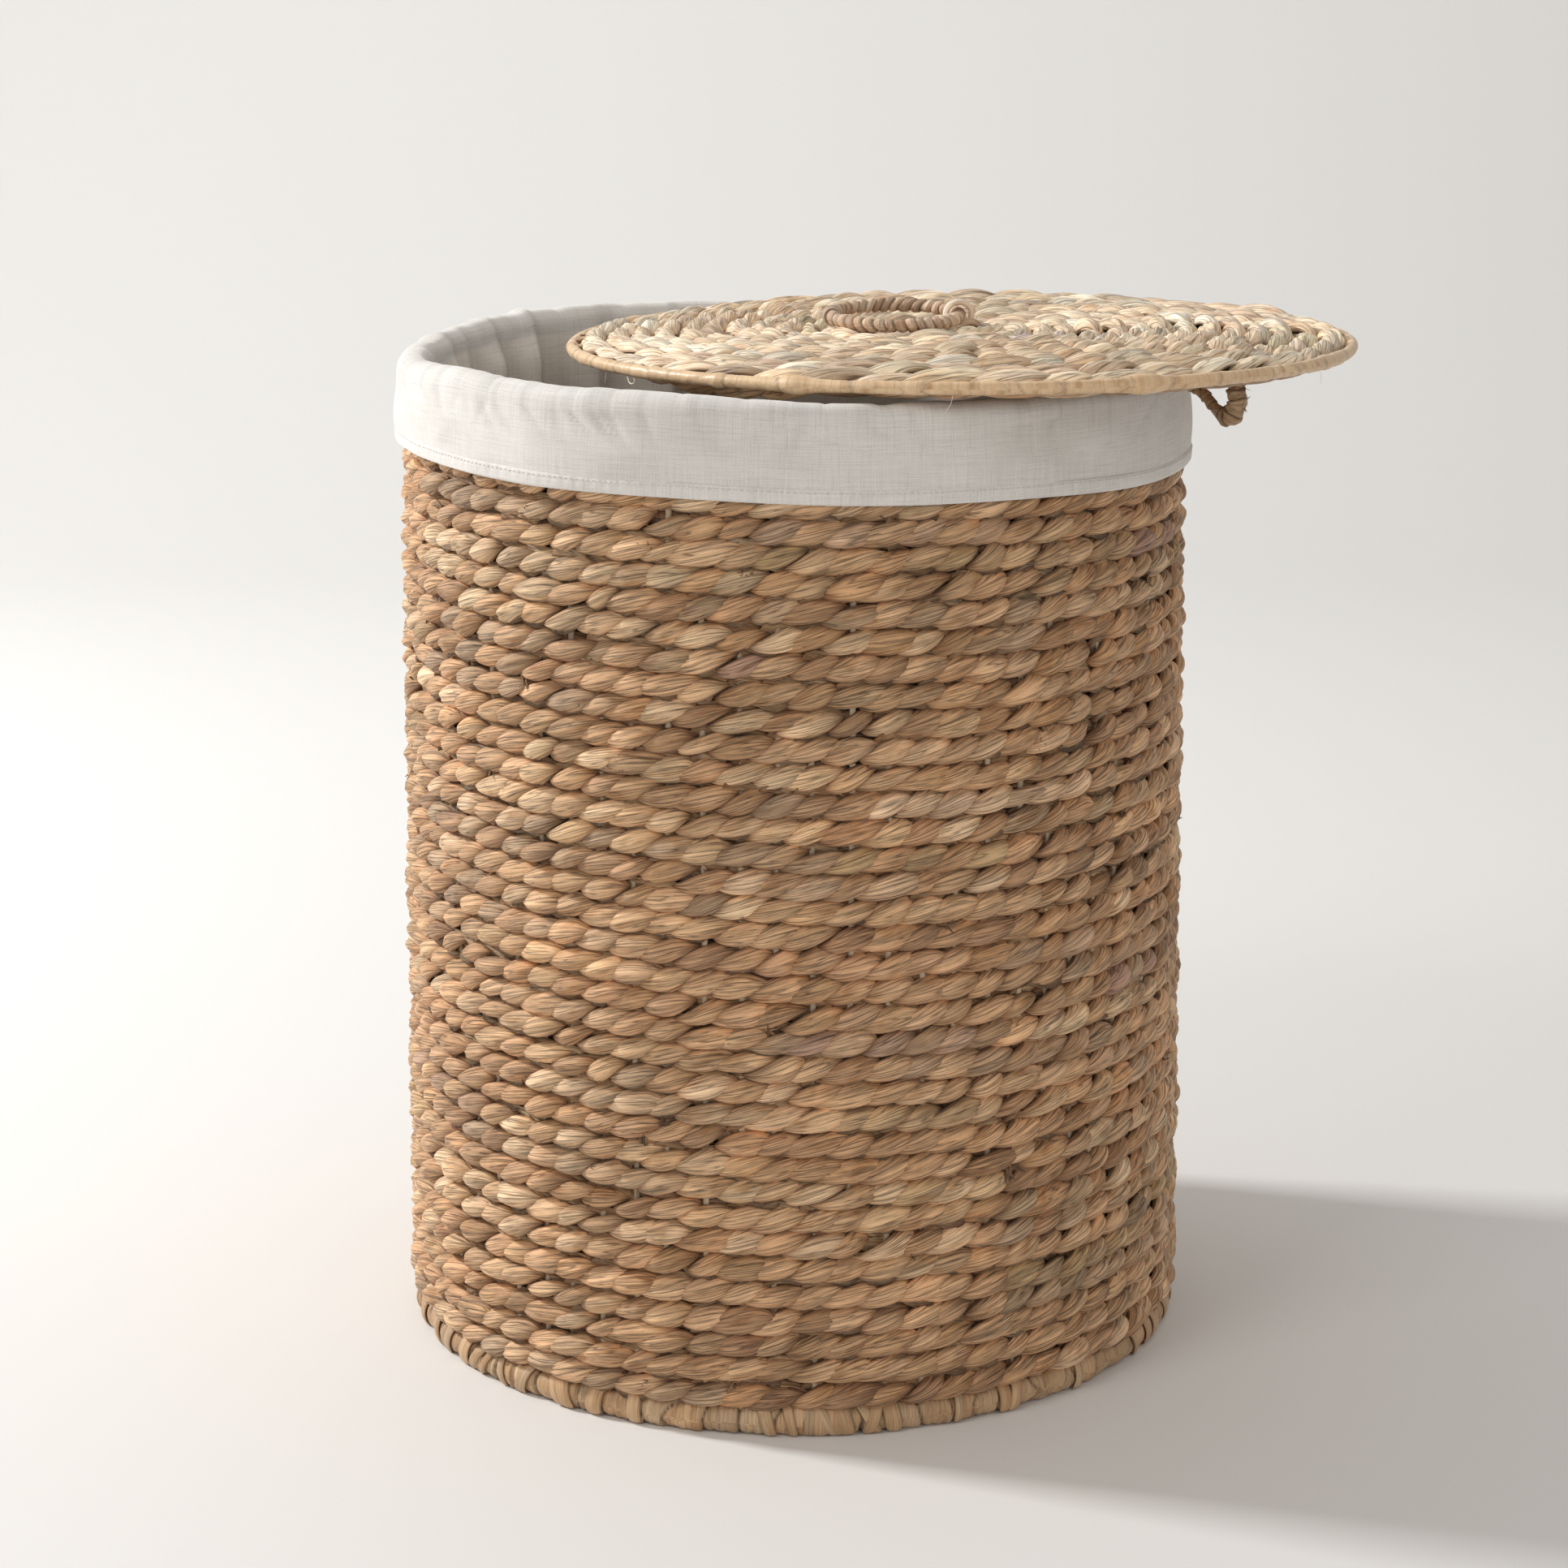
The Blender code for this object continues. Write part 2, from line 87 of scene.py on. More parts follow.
RING_R = (ring_hi[0] - ring_lo[0]) / 2 - RING_TUBE


def wall_radius(z):
    return WALL_R0 + (WALL_R1 - WALL_R0) * np.clip(z / WALL_RUN, 0, 1)


# ----------------------------------------------------------------- mesh maker
class Soup:
    """Collects closed grids of points and writes them as one mesh, with the
    attributes that the materials read: tint, the strand's own colour with any
    painted shade multiplied in, and fib, (metres along the fibres, place across
    them, a number for each strand)."""

    def __init__(self):
        self.v, self.loops, self.sizes, self.tint, self.fib = [], [], [], [], []
        self.count = 0

    def tubes(self, pos, tint, fib, ends=True, wrap_along=False):
        """pos (G, M, K, 3): G tubes of M sections of K points."""
        g, m, k, _ = pos.shape
        base = self.count + np.arange(g)[:, None, None] * (m * k)
        i = np.arange(m if wrap_along else m - 1)
        j = np.arange(k)
        a = (i[:, None] * k + j[None, :])
        b = (i[:, None] * k + (j[None, :] + 1) % k)
        c = (((i[:, None] + 1) % m) * k + (j[None, :] + 1) % k)
        d = (((i[:, None] + 1) % m) * k + j[None, :])
        quads = np.stack([a, b, c, d], -1)[None] + base[..., None]
        self.loops.append(quads.reshape(-1))
        self.sizes.append(np.full(quads.shape[0] * quads.shape[1] * quads.shape[2], 4))
        if ends and not wrap_along:
            first = base[:, :, 0] + j[::-1][None, :]
            last = base[:, :, 0] + (m - 1) * k + j[None, :]
            caps = np.concatenate([first, last]).reshape(-1)
            self.loops.append(caps)
            self.sizes.append(np.full(2 * g, k))
        self.v.append(pos.reshape(-1, 3))
        self.tint.append(np.broadcast_to(tint, pos.shape).reshape(-1, 3))
        self.fib.append(np.broadcast_to(fib, pos.shape).reshape(-1, 3))
        self.count += g * m * k

    def build(self, name, material, smooth=True):
        v = np.concatenate(self.v).astype(np.float32)
        v[:, 2] = np.maximum(v[:, 2], 0.0002)
        loops = np.concatenate(self.loops).astype(np.int32)
        sizes = np.concatenate(self.sizes).astype(np.int32)
        mesh = bpy.data.meshes.new(name)
        mesh.vertices.add(len(v))
        mesh.vertices.foreach_set("co", v.reshape(-1))
        mesh.loops.add(len(loops))
        mesh.loops.foreach_set("vertex_index", loops)
        mesh.polygons.add(len(sizes))
        starts = np.concatenate([[0], np.cumsum(sizes)[:-1]]).astype(np.int32)
        mesh.polygons.foreach_set("loop_start", starts)
        mesh.polygons.foreach_set("loop_total", sizes)
        mesh.polygons.foreach_set("use_smooth", np.full(len(sizes), smooth))
        mesh.update(calc_edges=True)
        tint = mesh.attributes.new("tint", "FLOAT_COLOR", "POINT")
        rgba = np.ones((len(v), 4), np.float32)
        rgba[:, :3] = np.concatenate(self.tint)
        tint.data.foreach_set("color", rgba.reshape(-1))
        fib = mesh.attributes.new("fib", "FLOAT_VECTOR", "POINT")
        fib.data.foreach_set("vector", np.concatenate(self.fib).astype(np.float32).reshape(-1))
        mesh.materials.append(material)
        obj = bpy.data.objects.new(name, mesh)
        bpy.context.scene.collection.objects.link(obj)
        return obj


def smooth_noise(rng, count, harmonics, power=1.0):
    """A periodic random curve's values at angles: returns a function."""
    k = np.arange(1, harmonics + 1)
    amp = rng.normal(size=harmonics) / k**power
    phase = rng.uniform(0, TAU, harmonics)

    def value(a):
        return (amp * np.cos(np.asarray(a)[..., None] * k + phase)).sum(-1)

    return value


# -------------------------------------------------------------------- palette
# strand colours as linear RGB, drawn at random with these weights
STRANDS = np.array(
    [
        (0.690, 0.455, 0.262),   # straw
        (0.630, 0.388, 0.212),   # golden tan
        (0.575, 0.340, 0.176),   # orange brown
        (0.520, 0.362, 0.226),   # grey brown
        (0.750, 0.540, 0.340),   # pale straw
        (0.530, 0.370, 0.195),   # olive
        (0.450, 0.268, 0.148),   # dark tan
        (0.470, 0.300, 0.215),   # mauve brown
    ]
)
WEIGHTS = np.array([0.33, 0.35, 0.08, 0.07, 0.11, 0.02, 0.03, 0.01])
WEIGHTS = WEIGHTS / WEIGHTS.sum()


def strand_colours(rng, count, keep=0.0):
    """Random strand colours; keep pulls them towards the mean."""
    pick = rng.choice(len(STRANDS), size=count, p=WEIGHTS)
    rgb = STRANDS[pick] * rng.normal(1.12, 0.07, (count, 1)) * rng.normal(1.0, 0.010, (count, 3))
    mean = (STRANDS * WEIGHTS[:, None]).sum(0)
    return rgb * (1 - keep) + mean * keep


# ---------------------------------------------------------------- materials
def new_material(name):
    mat = bpy.data.materials.new(name)
    mat.use_nodes = True
    tree = mat.node_tree
    shader = tree.nodes["Principled BSDF"]
    return mat, tree, shader


def node(tree, kind, **values):
    n = tree.nodes.new(kind)
    for key, value in values.items():
        if key in ("operation", "blend_type", "data_type", "attribute_name", "noise_dimensions",
                   "normalize", "feature", "wave_type", "bands_direction", "interpolation_type",
                   "clamp_factor", "invert"):
            setattr(n, key, value)
        else:
            n.inputs[key].default_value = value
    return n


def math_node(tree, op, a, b=None, clamp=False):
    n = tree.nodes.new("ShaderNodeMath")
    n.operation = op
    n.use_clamp = clamp
    for i, x in enumerate((a, b)):
        if x is None:
            continue
        if isinstance(x, (int, float)):
            n.inputs[i].default_value = x
        else:
            tree.links.new(x, n.inputs[i])
    return n.outputs[0]


def ramp(tree, source, stops):
    n = tree.nodes.new("ShaderNodeValToRGB")
    els = n.color_ramp.elements
    while len(els) < len(stops):
        els.new(0.5)
    for el, (at, value) in zip(els, stops):
        el.position = at
        el.color = (value, value, value, 1) if isinstance(value, (int, float)) else (*value, 1)
    tree.links.new(source, n.inputs[0])
    return n.outputs[0]


def scaled(tree, vector, scale):
    n = tree.nodes.new("ShaderNodeVectorMath")
    n.operation = "MULTIPLY"
    tree.links.new(vector, n.inputs[0])
    n.inputs[1].default_value = scale
    return n.outputs[0]


def noise(tree, vector, scale=1.0, detail=2.0, rough=0.5, distort=0.0):
    n = tree.nodes.new("ShaderNodeTexNoise")
    n.noise_dimensions = "3D"
    n.inputs["Scale"].default_value = scale
    n.inputs["Detail"].default_value = detail
    n.inputs["Roughness"].default_value = rough
    n.inputs["Distortion"].default_value = distort
    tree.links.new(vector, n.inputs["Vector"])
    return n.outputs["Fac"]


def mixed(tree, fac, a, b, blend="MIX"):
    n = tree.nodes.new("ShaderNodeMix")
    n.data_type = "RGBA"
    n.blend_type = blend
    for sock, x in ((n.inputs[0], fac), (n.inputs[6], a), (n.inputs[7], b)):
        if isinstance(x, (int, float)):
            sock.default_value = x
        elif isinstance(x, tuple):
            sock.default_value = (*x, 1)
        else:
            tree.links.new(x, sock)
    return n.outputs[2]


def fibre_material(name, along=75.0, across=15.0, contrast=1.0, bump=0.0011, rough=0.56,
                   crease=0.62, gain=1.0, spec=0.35):
    """Dried plant strand: fine fibres run along it, with darker creases, pale
    worn spots and freckles. fib is (metres along, sevenths of a centimetre
    across, strand number)."""
    mat, tree, shader = new_material(name)
    tint = node(tree, "ShaderNodeAttribute", attribute_name="tint").outputs["Color"]
    fib = node(tree, "ShaderNodeAttribute", attribute_name="fib").outputs["Vector"]
    coord = scaled(tree, fib, (1.0, 1.0, 17.3))
    fine = noise(tree, scaled(tree, coord, (along, across, 1.0)), 1.0, 3.0, 0.62, 0.25)
    medium = noise(tree, scaled(tree, coord, (along * 0.5, across * 0.36, 1.0)), 1.0, 2.0, 0.55, 0.3)
    broad = noise(tree, scaled(tree, coord, (60.0, 1.1, 1.0)), 1.0, 2.0, 0.5, 0.35)
    line = noise(tree, scaled(tree, coord, (24.0, across * 0.21, 1.0)), 1.0, 1.0, 0.4, 0.25)
    spots = noise(tree, scaled(tree, coord, (420.0, 4.0, 1.0)), 1.0, 2.0, 0.6)
    streak = ramp(tree, fine, [(0.30, 1 - 0.36 * contrast), (0.47, 1 - 0.05 * contrast), (0.68, 1 + 0.16 * contrast)])
    band = ramp(tree, medium, [(0.32, 1 - 0.30 * contrast), (0.50, 1.0), (0.70, 1 + 0.14 * contrast)])
    patch = ramp(tree, broad, [(0.27, (0.74, 0.62, 0.50)), (0.44, (0.97, 0.95, 0.92)), (0.58, (1.02, 1.02, 1.02)),
                               (0.78, (1.10, 1.12, 1.14))])
    # a thin dark line where the noise crosses its middle, which is a crease
    near = math_node(tree, "ABSOLUTE", math_node(tree, "SUBTRACT", line, 0.5))
    fold = ramp(tree, near, [(0.0, 1 - crease), (0.012, 1 - crease * 0.6), (0.034, 1.0)])
    freckle = ramp(tree, spots, [(0.26, 0.72), (0.35, 1.0)])
    colour = mixed(tree, 1.0, tint, streak, "MULTIPLY")
    colour = mixed(tree, 1.0, colour, band, "MULTIPLY")
    colour = mixed(tree, 1.0, colour, patch, "MULTIPLY")
    colour = mixed(tree, 0.9, colour, fold, "MULTIPLY")
    colour = mixed(tree, 0.7, colour, freckle, "MULTIPLY")
    if gain != 1.0:
        triple = gain if isinstance(gain, tuple) else (gain, gain, gain)
        colour = mixed(tree, 1.0, colour, triple, "MULTIPLY")
    tree.links.new(colour, shader.inputs["Base Color"])
    roughness = ramp(tree, fine, [(0.3, rough + 0.14), (0.7, rough - 0.08)])
    tree.links.new(roughness, shader.inputs["Roughness"])
    shader.inputs["Specular IOR Level"].default_value = spec
    shader.inputs["Sheen Weight"].default_value = 0.08
    shader.inputs["Sheen Roughness"].default_value = 0.5
    height = math_node(tree, "ADD", math_node(tree, "MULTIPLY", fine, 0.45),
                       math_node(tree, "MULTIPLY", fold, 0.6))
    height = math_node(tree, "ADD", height, math_node(tree, "MULTIPLY", medium, 0.8))
    b = tree.nodes.new("ShaderNodeBump")
    b.inputs["Strength"].default_value = 0.85
    b.inputs["Distance"].default_value = bump
    tree.links.new(height, b.inputs["Height"])
    tree.links.new(b.outputs[0], shader.inputs["Normal"])
    return mat


def cloth_material(name, base=(0.775, 0.755, 0.725), thread=0.00062, gain=1.0):
    """Undyed plain-weave cotton: warp and weft threads, slubs and soft blotches.
    fib holds metres round the cloth and metres along its length."""
    mat, tree, shader = new_material(name)
    fib = node(tree, "ShaderNodeAttribute", attribute_name="fib").outputs["Vector"]
    tint = node(tree, "ShaderNodeAttribute", attribute_name="tint").outputs["Color"]
    warp = noise(tree, scaled(tree, fib, (1.0 / thread, 26.0, 0.0)), 1.0, 2.0, 0.6)
    weft = noise(tree, scaled(tree, fib, (26.0, 1.0 / thread, 0.0)), 1.0, 2.0, 0.6)
    cell = noise(tree, scaled(tree, fib, (1.0 / thread, 1.0 / thread, 0.0)), 1.0, 1.0, 0.5)
    soft = noise(tree, scaled(tree, fib, (34.0, 42.0, 0.0)), 1.0, 3.0, 0.55)
    slub = noise(tree, scaled(tree, fib, (60.0, 1300.0, 0.0)), 1.0, 2.0, 0.5)
    slub2 = noise(tree, scaled(tree, fib, (1300.0, 55.0, 0.0)), 1.0, 2.0, 0.5)
    threads = math_node(tree, "ADD", math_node(tree, "MULTIPLY", warp, 0.5),
                        math_node(tree, "MULTIPLY", weft, 0.5))
    grain = math_node(tree, "ADD", math_node(tree, "MULTIPLY", threads, 0.7),
                      math_node(tree, "MULTIPLY", cell, 0.3))
    shade = ramp(tree, grain, [(0.36, 0.80), (0.5, 0.97), (0.64, 1.07)])
    blotch = ramp(tree, soft, [(0.3, (0.945, 0.935, 0.92)), (0.7, (1.03, 1.03, 1.03))])
    lines = ramp(tree, slub, [(0.30, 0.86), (0.40, 1.0), (0.62, 1.0), (0.72, 1.05)])
    lines2 = ramp(tree, slub2, [(0.30, 0.88), (0.40, 1.0)])
    colour = mixed(tree, 1.0, (base[0] * gain, base[1] * gain, base[2] * gain), tint, "MULTIPLY")
    colour = mixed(tree, 1.0, colour, shade, "MULTIPLY")
    colour = mixed(tree, 1.0, colour, blotch, "MULTIPLY")
    colour = mixed(tree, 0.8, colour, lines, "MULTIPLY")
    colour = mixed(tree, 0.8, colour, lines2, "MULTIPLY")
    tree.links.new(colour, shader.inputs["Base Color"])
    shader.inputs["Roughness"].default_value = 0.93
    shader.inputs["Specular IOR Level"].default_value = 0.2
    shader.inputs["Sheen Weight"].default_value = 0.25
    shader.inputs["Sheen Roughness"].default_value = 0.6
    height = math_node(tree, "ADD", grain, math_node(tree, "MULTIPLY", lines, -0.25))
    b = tree.nodes.new("ShaderNodeBump")
    b.inputs["Strength"].default_value = 0.7
    b.inputs["Distance"].default_value = 0.00035
    tree.links.new(height, b.inputs["Height"])
    tree.links.new(b.outputs[0], shader.inputs["Normal"])
    return mat


MAT_WALL = fibre_material("strand", contrast=1.45, bump=0.0015, gain=(1.02, 1.0, 0.99))
# painted sheen: the lid's copy of the strand material is made far paler and whiter by its gain, standing for the
# bright room reflected off the lid at a grazing angle
MAT_LID_PAINTED_SHEEN = fibre_material("strand_lid_painted_sheen", contrast=1.15, bump=0.0013, gain=(1.36, 1.70, 2.16), rough=0.46, spec=0.55)
MAT_INNER = fibre_material("strand_inner", gain=0.9)
MAT_LEAF = fibre_material("leaf_wrap", along=60.0, across=13.0, contrast=0.55, bump=0.0005,
                          rough=0.44, crease=0.34, spec=0.5)
MAT_RIM = fibre_material("rim_wrap", along=60.0, across=8.0, contrast=0.30, bump=0.00025,
                         rough=0.40, crease=0.16, gain=(1.12, 1.21, 1.30), spec=0.55)
MAT_CORD = fibre_material("cord", along=120.0, across=15.0, contrast=0.8, bump=0.0006, rough=0.6,
                          crease=0.35)
MAT_STAKE = fibre_material("stake", along=60.0, across=9.0, contrast=0.4, bump=0.0002, rough=0.5,
                           crease=0.1)
MAT_CLOTH = cloth_material("cloth")
MAT_HAIR = fibre_material("stray_fibre", contrast=0.2, bump=0.0001, crease=0.0)


# --------------------------------------------------------------------- grains
def grains(rng, count, length, half_h, thick, rise, dive, sections=13, front=13, back=2,
           shear=0.30, back_depth=0.0025, jitter=1.0, fold_amp=0.0006, point=0.95, rope=0.0072):
    """Leaf-shaped strand stretches in their own axes: s along the course, b
    across it and n out of the surface. Returns s, b, n (G, M, K), and the
    strand coordinates."""
    g = count
    lin = np.linspace(-1, 1, sections)
    u = np.sin(lin * math.pi / 2) * 0.45 + lin * 0.55
    q_front = np.linspace(1, -1, front)
    ang_front = np.arccos(np.clip(q_front, -1, 1))
    ang_front = ang_front * 0.6 + np.linspace(0, math.pi, front) * 0.4
    ang_back = math.pi + np.linspace(0, math.pi, back + 2)[1:-1]
    th = np.concatenate([ang_front, ang_back])
    k = len(th)

    def each(mean, spread, low=0.55, high=1.5):
        return np.clip(mean * (1 + spread * jitter * rng.normal(size=g)), mean * low, mean * high)[:, None, None]

    L = each(length, 0.11)
    H0 = each(half_h, 0.115)
    W0 = each(thick, 0.17)
    S0 = each(rise, 0.22)
    skew = each(shear, 0.3)
    uu = u[None, :, None] * np.ones((g, 1, 1))
    mid = (rng.normal(0, 0.16 * jitter, g))[:, None, None]
    um = np.clip(uu + mid * (1 - uu**2), -1, 1)
    fat = (rng.uniform(2.0, 2.8, g))[:, None, None]
    H = H0 * (np.maximum(1 - np.abs(um) ** fat, 0) ** point + 0.05)
    cosb = np.cos(th)[None, None, :]
    sinb = np.sin(th)[None, None, :]
    q = cosb * np.ones((g, sections, 1))
    b = S0 * np.sin(uu * math.pi / 2 * 0.95) + H * q
    s = uu * L / 2 + skew * H * q * (1 - 0.3 * uu**2)
    bend = (rng.normal(0, 0.0008 * jitter, g))[:, None, None]
    b = b + bend * (1 - uu**2)
    # plump front, flat back
    w = W0 * (1 - 0.55 * np.abs(uu) ** 2.4)
    power = 0.86
    up = np.sign(sinb) * np.abs(sinb) ** power
    # creases and lobes that run with the fibres
    lobes = np.zeros((g, sections, k))
    for _ in range(5):
        q0 = rng.uniform(-0.8, 0.8, g)[:, None, None]
        slope = rng.normal(0, 0.24, g)[:, None, None]
        width = rng.uniform(0.09, 0.17, g)[:, None, None]
        amp = fold_amp * rng.uniform(-0.2, 1.5, g)[:, None, None]
        centre = rng.uniform(-0.8, 0.8, g)[:, None, None]
        reach = rng.uniform(0.4, 1.0, g)[:, None, None]
        along = np.exp(-((uu - centre) / reach) ** 4)
        lobes -= amp * along * np.exp(-((q - q0 - slope * uu) / width) ** 2)
    waves = rng.integers(2, 5, g)[:, None, None]
    ph = rng.uniform(0, TAU, g)[:, None, None]
    lobes += fold_amp * 0.4 * np.cos(waves * math.pi * q + ph + 0.8 * uu)
    # one cheek of each strand stands a little prouder than the other
    lobes += (rng.normal(0, 0.0005 * jitter, g))[:, None, None] * q
    # each course is round like a rope, and its strands lie on that round
    around = np.clip(np.abs(b) / rope, 0, 1)
    course = -rope * (1 - np.sqrt(np.maximum(1 - around**2, 0)))
    n = np.where(sinb >= -1e-9, w * up + lobes * np.clip(sinb, 0, 1), back_depth * sinb)
    n = n + course - dive * np.abs(uu) ** 2.4 - W0
    fib = np.stack(
        [
            np.broadcast_to(uu * L / 2, n.shape),
            np.broadcast_to(q + 2.5 * (sinb < -1e-9), n.shape),
            np.broadcast_to(rng.uniform(0, 60, g)[:, None, None], n.shape),
        ],
        -1,
    )
    # painted shade, partly the strands' own browner ends: each strand's tips and edges are darkened where it dives
    # into the crevices between strands
    far = np.clip((np.abs(uu) - 0.42) / 0.58, 0, 1) ** 1.4
    edge = np.abs(q) ** 6
    shade = np.stack([1 - 0.38 * far - 0.26 * edge, 1 - 0.49 * far - 0.30 * edge, 1 - 0.58 * far - 0.34 * edge], -1)
    return s, b, n, fib, np.clip(shade, 0.15, 1)


# ----------------------------------------------------------------- wall weave
STAKES = 70
PITCH = 0.01330
TILT = 0.040
rng = np.random.default_rng(11)


def course_fade(z):
    """How much of the courses' tilt shows at a height: none at the foot."""
    t = np.clip((z - wall_lo[2]) / 0.13, 0, 1)
    return t * t * (3 - 2 * t)


def wall_map(phi0, z0, s, b, n, rz):
    """Wall courses to world points. rz moves the surface in or out."""
    z = z0 + b
    r = wall_radius(z) + n + rz
    a = phi0 + s / 0.2105
    return np.stack([r * np.cos(a), r * np.sin(a), z], -1)


def build_wall():
    first = foot_hi[2] + 0.0084
    rows = int((rim_hi[2] - 0.004 - first) / PITCH) + 1
    wave = [smooth_noise(rng, 1, 7, 0.8) for _ in range(6)]
    shift = smooth_noise(rng, 1, 9, 0.6)
    spans = np.array_split(np.arange(rows), 6)
    for part, rows_here in enumerate(spans, 1):
        soup = Soup()
        for row in rows_here:
            z_row = first + row * PITCH
            k = np.arange(STAKES)
            # each stake leans a little, all the way up
            lean = 0.0014 * np.sin(3.1 * z_row / 0.5 + 1.7 * np.sin(k * 2.399)) + 0.0010 * shift(k / STAKES * TAU)
            phi = TAU * k / STAKES + lean / 0.21 + rng.normal(0, 0.0010, STAKES) / 0.21
            blend = row / rows * (len(wave) - 1)
            i = min(int(blend), len(wave) - 2)
            w = (1 - (blend - i)) * wave[i](phi) + (blend - i) * wave[i + 1](phi)
            z0 = z_row + 0.0010 * w * course_fade(np.array(z_row)) + rng.normal(0, 0.00070, STAKES)
            z0 = z0 - TILT * course_fade(z0) * 0.2105 * np.cos(phi)
            keep = (z0 < rim_hi[2] - 0.0062) & (z0 > first - 0.002)
            z0, phi = z0[keep], phi[keep]
            g = len(phi)
            if not g:
                continue
            s, b, n, fib, shade = grains(rng, g, 0.0350, 0.0071, 0.0040, 0.0032, 0.0044)
            # a strand comes to the front every second upright, so its colour
            # runs on along the course
            a = strand_colours(rng, g)
            run = int(rng.integers(0, 7))
            for t in range(2, g):
                if (t + run) % 9 > 1 and rng.random() < 0.82:
                    a[t] = a[t - 2] * 0.85 + a[t] * 0.15
            a *= rng.normal(1.0, 0.09, (g, 1)) * rng.normal(1.0, 0.03)
            blotch = (1 + 0.10 * rng.normal(size=(g, 1, 1)) * fib[..., 0] / 0.015)[..., None]
            tint = a[:, None, None, :] * shade * np.clip(blotch, 0.75, 1.25)
            pos = wall_map(phi[:, None, None], z0[:, None, None], s, b, n,
                           rng.normal(0, 0.0007, g)[:, None, None])
            pos[..., 2] = np.clip(pos[..., 2], foot_hi[2] - 0.0015, rim_hi[2] - 0.0010)
            # flattened where the cuff presses on it
            hem = (hem_lo[2] + hem_hi[2]) / 2 - 0.0036 - 0.028 * pos[..., 0]
            bend = np.clip((pos[..., 2] - (rim_hi[2] - 0.009)) / 0.009, 0, 1)
            limit = cuff_hi[0] - 0.0031 * np.clip((pos[..., 2] - hem) / 0.006, 0, 1) - \
                0.0045 * (1 - np.sqrt(1 - 0.98 * bend**2))
            far = np.hypot(pos[..., 0], pos[..., 1])
            squeeze = np.where(pos[..., 2] > hem, np.minimum(far, limit) / far, 1.0)
            pos[..., :2] *= squeeze[..., None]
            soup.tubes(pos, tint, fib)
        piece = soup.build(f"wall_courses_{part}", MAT_WALL)
        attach(piece, "basket")
        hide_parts("weave_outer")


def build_inner_wall():
    first = inner_lo[2] + 0.006
    rows = int((rim_hi[2] - 0.006 - first) / PITCH) + 1
    for part, span in enumerate(np.array_split(np.arange(rows), 2), 1):
        inner_part(part, span, first)


def inner_part(part, span, first):
    soup = Soup()
    for row in span:
        k = np.arange(STAKES) + 0.5
        phi = TAU * k / STAKES
        z0 = np.full(STAKES, first + row * PITCH) - TILT * course_fade(first + row * PITCH) * 0.2 * np.cos(phi)
        keep = (z0 < rim_hi[2] - 0.0062) & (z0 > first - 0.002)
        z0, phi = z0[keep], phi[keep]
        g = len(phi)
        if not g:
            continue
        s, b, n, fib, shade = grains(rng, g, 0.0330, 0.0067, 0.0026, 0.0030, 0.0030, sections=7,
                                     front=7, back=1)
        z = z0[:, None, None] + b
        r = wall_radius(z) - WALL_T - n
        ang = phi[:, None, None] - s / 0.2
        pos = np.stack([r * np.cos(ang), r * np.sin(ang), z], -1)
        tint = strand_colours(rng, g)[:, None, None, :] * shade
        soup.tubes(pos, tint, fib)
    piece = soup.build(f"wall_inside_courses_{part}", MAT_INNER)
    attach(piece, "basket")
    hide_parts("weave_inner")


def build_stakes():
    """Pale uprights that show between the courses."""
    soup = Soup()
    z = np.linspace(foot_hi[2] - 0.004, rim_hi[2] - 0.006, 60)
    k = np.arange(STAKES)
    phi = (TAU * k / STAKES)[:, None] + 0.0
    lean = 0.0014 * np.sin(3.1 * z[None] / 0.5 + 1.7 * np.sin(k * 2.399)[:, None]) / 0.21
    a = (phi + lean)[..., None]
    th = np.linspace(0, TAU, 9)[:-1]
    side = 0.00165 * np.sign(np.cos(th)) * np.abs(np.cos(th)) ** 0.6
    deep = 0.0011 * np.sign(np.sin(th)) * np.abs(np.sin(th)) ** 0.6
    r = wall_radius(z)[None, :, None] - 0.0086 + deep[None, None, :]
    ang = a + side[None, None, :] / 0.21
    pos = np.stack([r * np.cos(ang), r * np.sin(ang), np.broadcast_to(z[None, :, None], ang.shape)], -1)
    fib = np.stack([np.broadcast_to(z[None, :, None], ang.shape), np.broadcast_to(np.cos(th), ang.shape),
                    np.broadcast_to(k[:, None, None] * 1.37, ang.shape)], -1)
    col = np.array([0.66, 0.54, 0.39]) * (1 + 0.06 * rng.normal(size=(STAKES, 1, 1, 1)))
    soup.tubes(pos, np.broadcast_to(col, pos.shape), fib)
    # hoop at the top and foot, which the stakes are welded to
    for zz, rr in ((rim_hi[2] - 0.0125, WALL_R1 - 0.0072), ((foot_lo[2] + foot_hi[2]) / 2, 0.2030)):
        t = np.linspace(0, TAU, 241)[:-1]
        ring = np.stack([
            (rr + 0.0016 * np.cos(th)[None, :]) * np.cos(t)[:, None],
            (rr + 0.0016 * np.cos(th)[None, :]) * np.sin(t)[:, None],
            np.broadcast_to(zz + 0.0016 * np.sin(th)[None, :], (240, 8)),
        ], -1)[None]
        soup.tubes(ring, np.array([0.4, 0.34, 0.26]), np.zeros(3), wrap_along=True)
    piece = soup.build("uprights", MAT_STAKE)
    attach(piece, "basket")
    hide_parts("wire_cage")


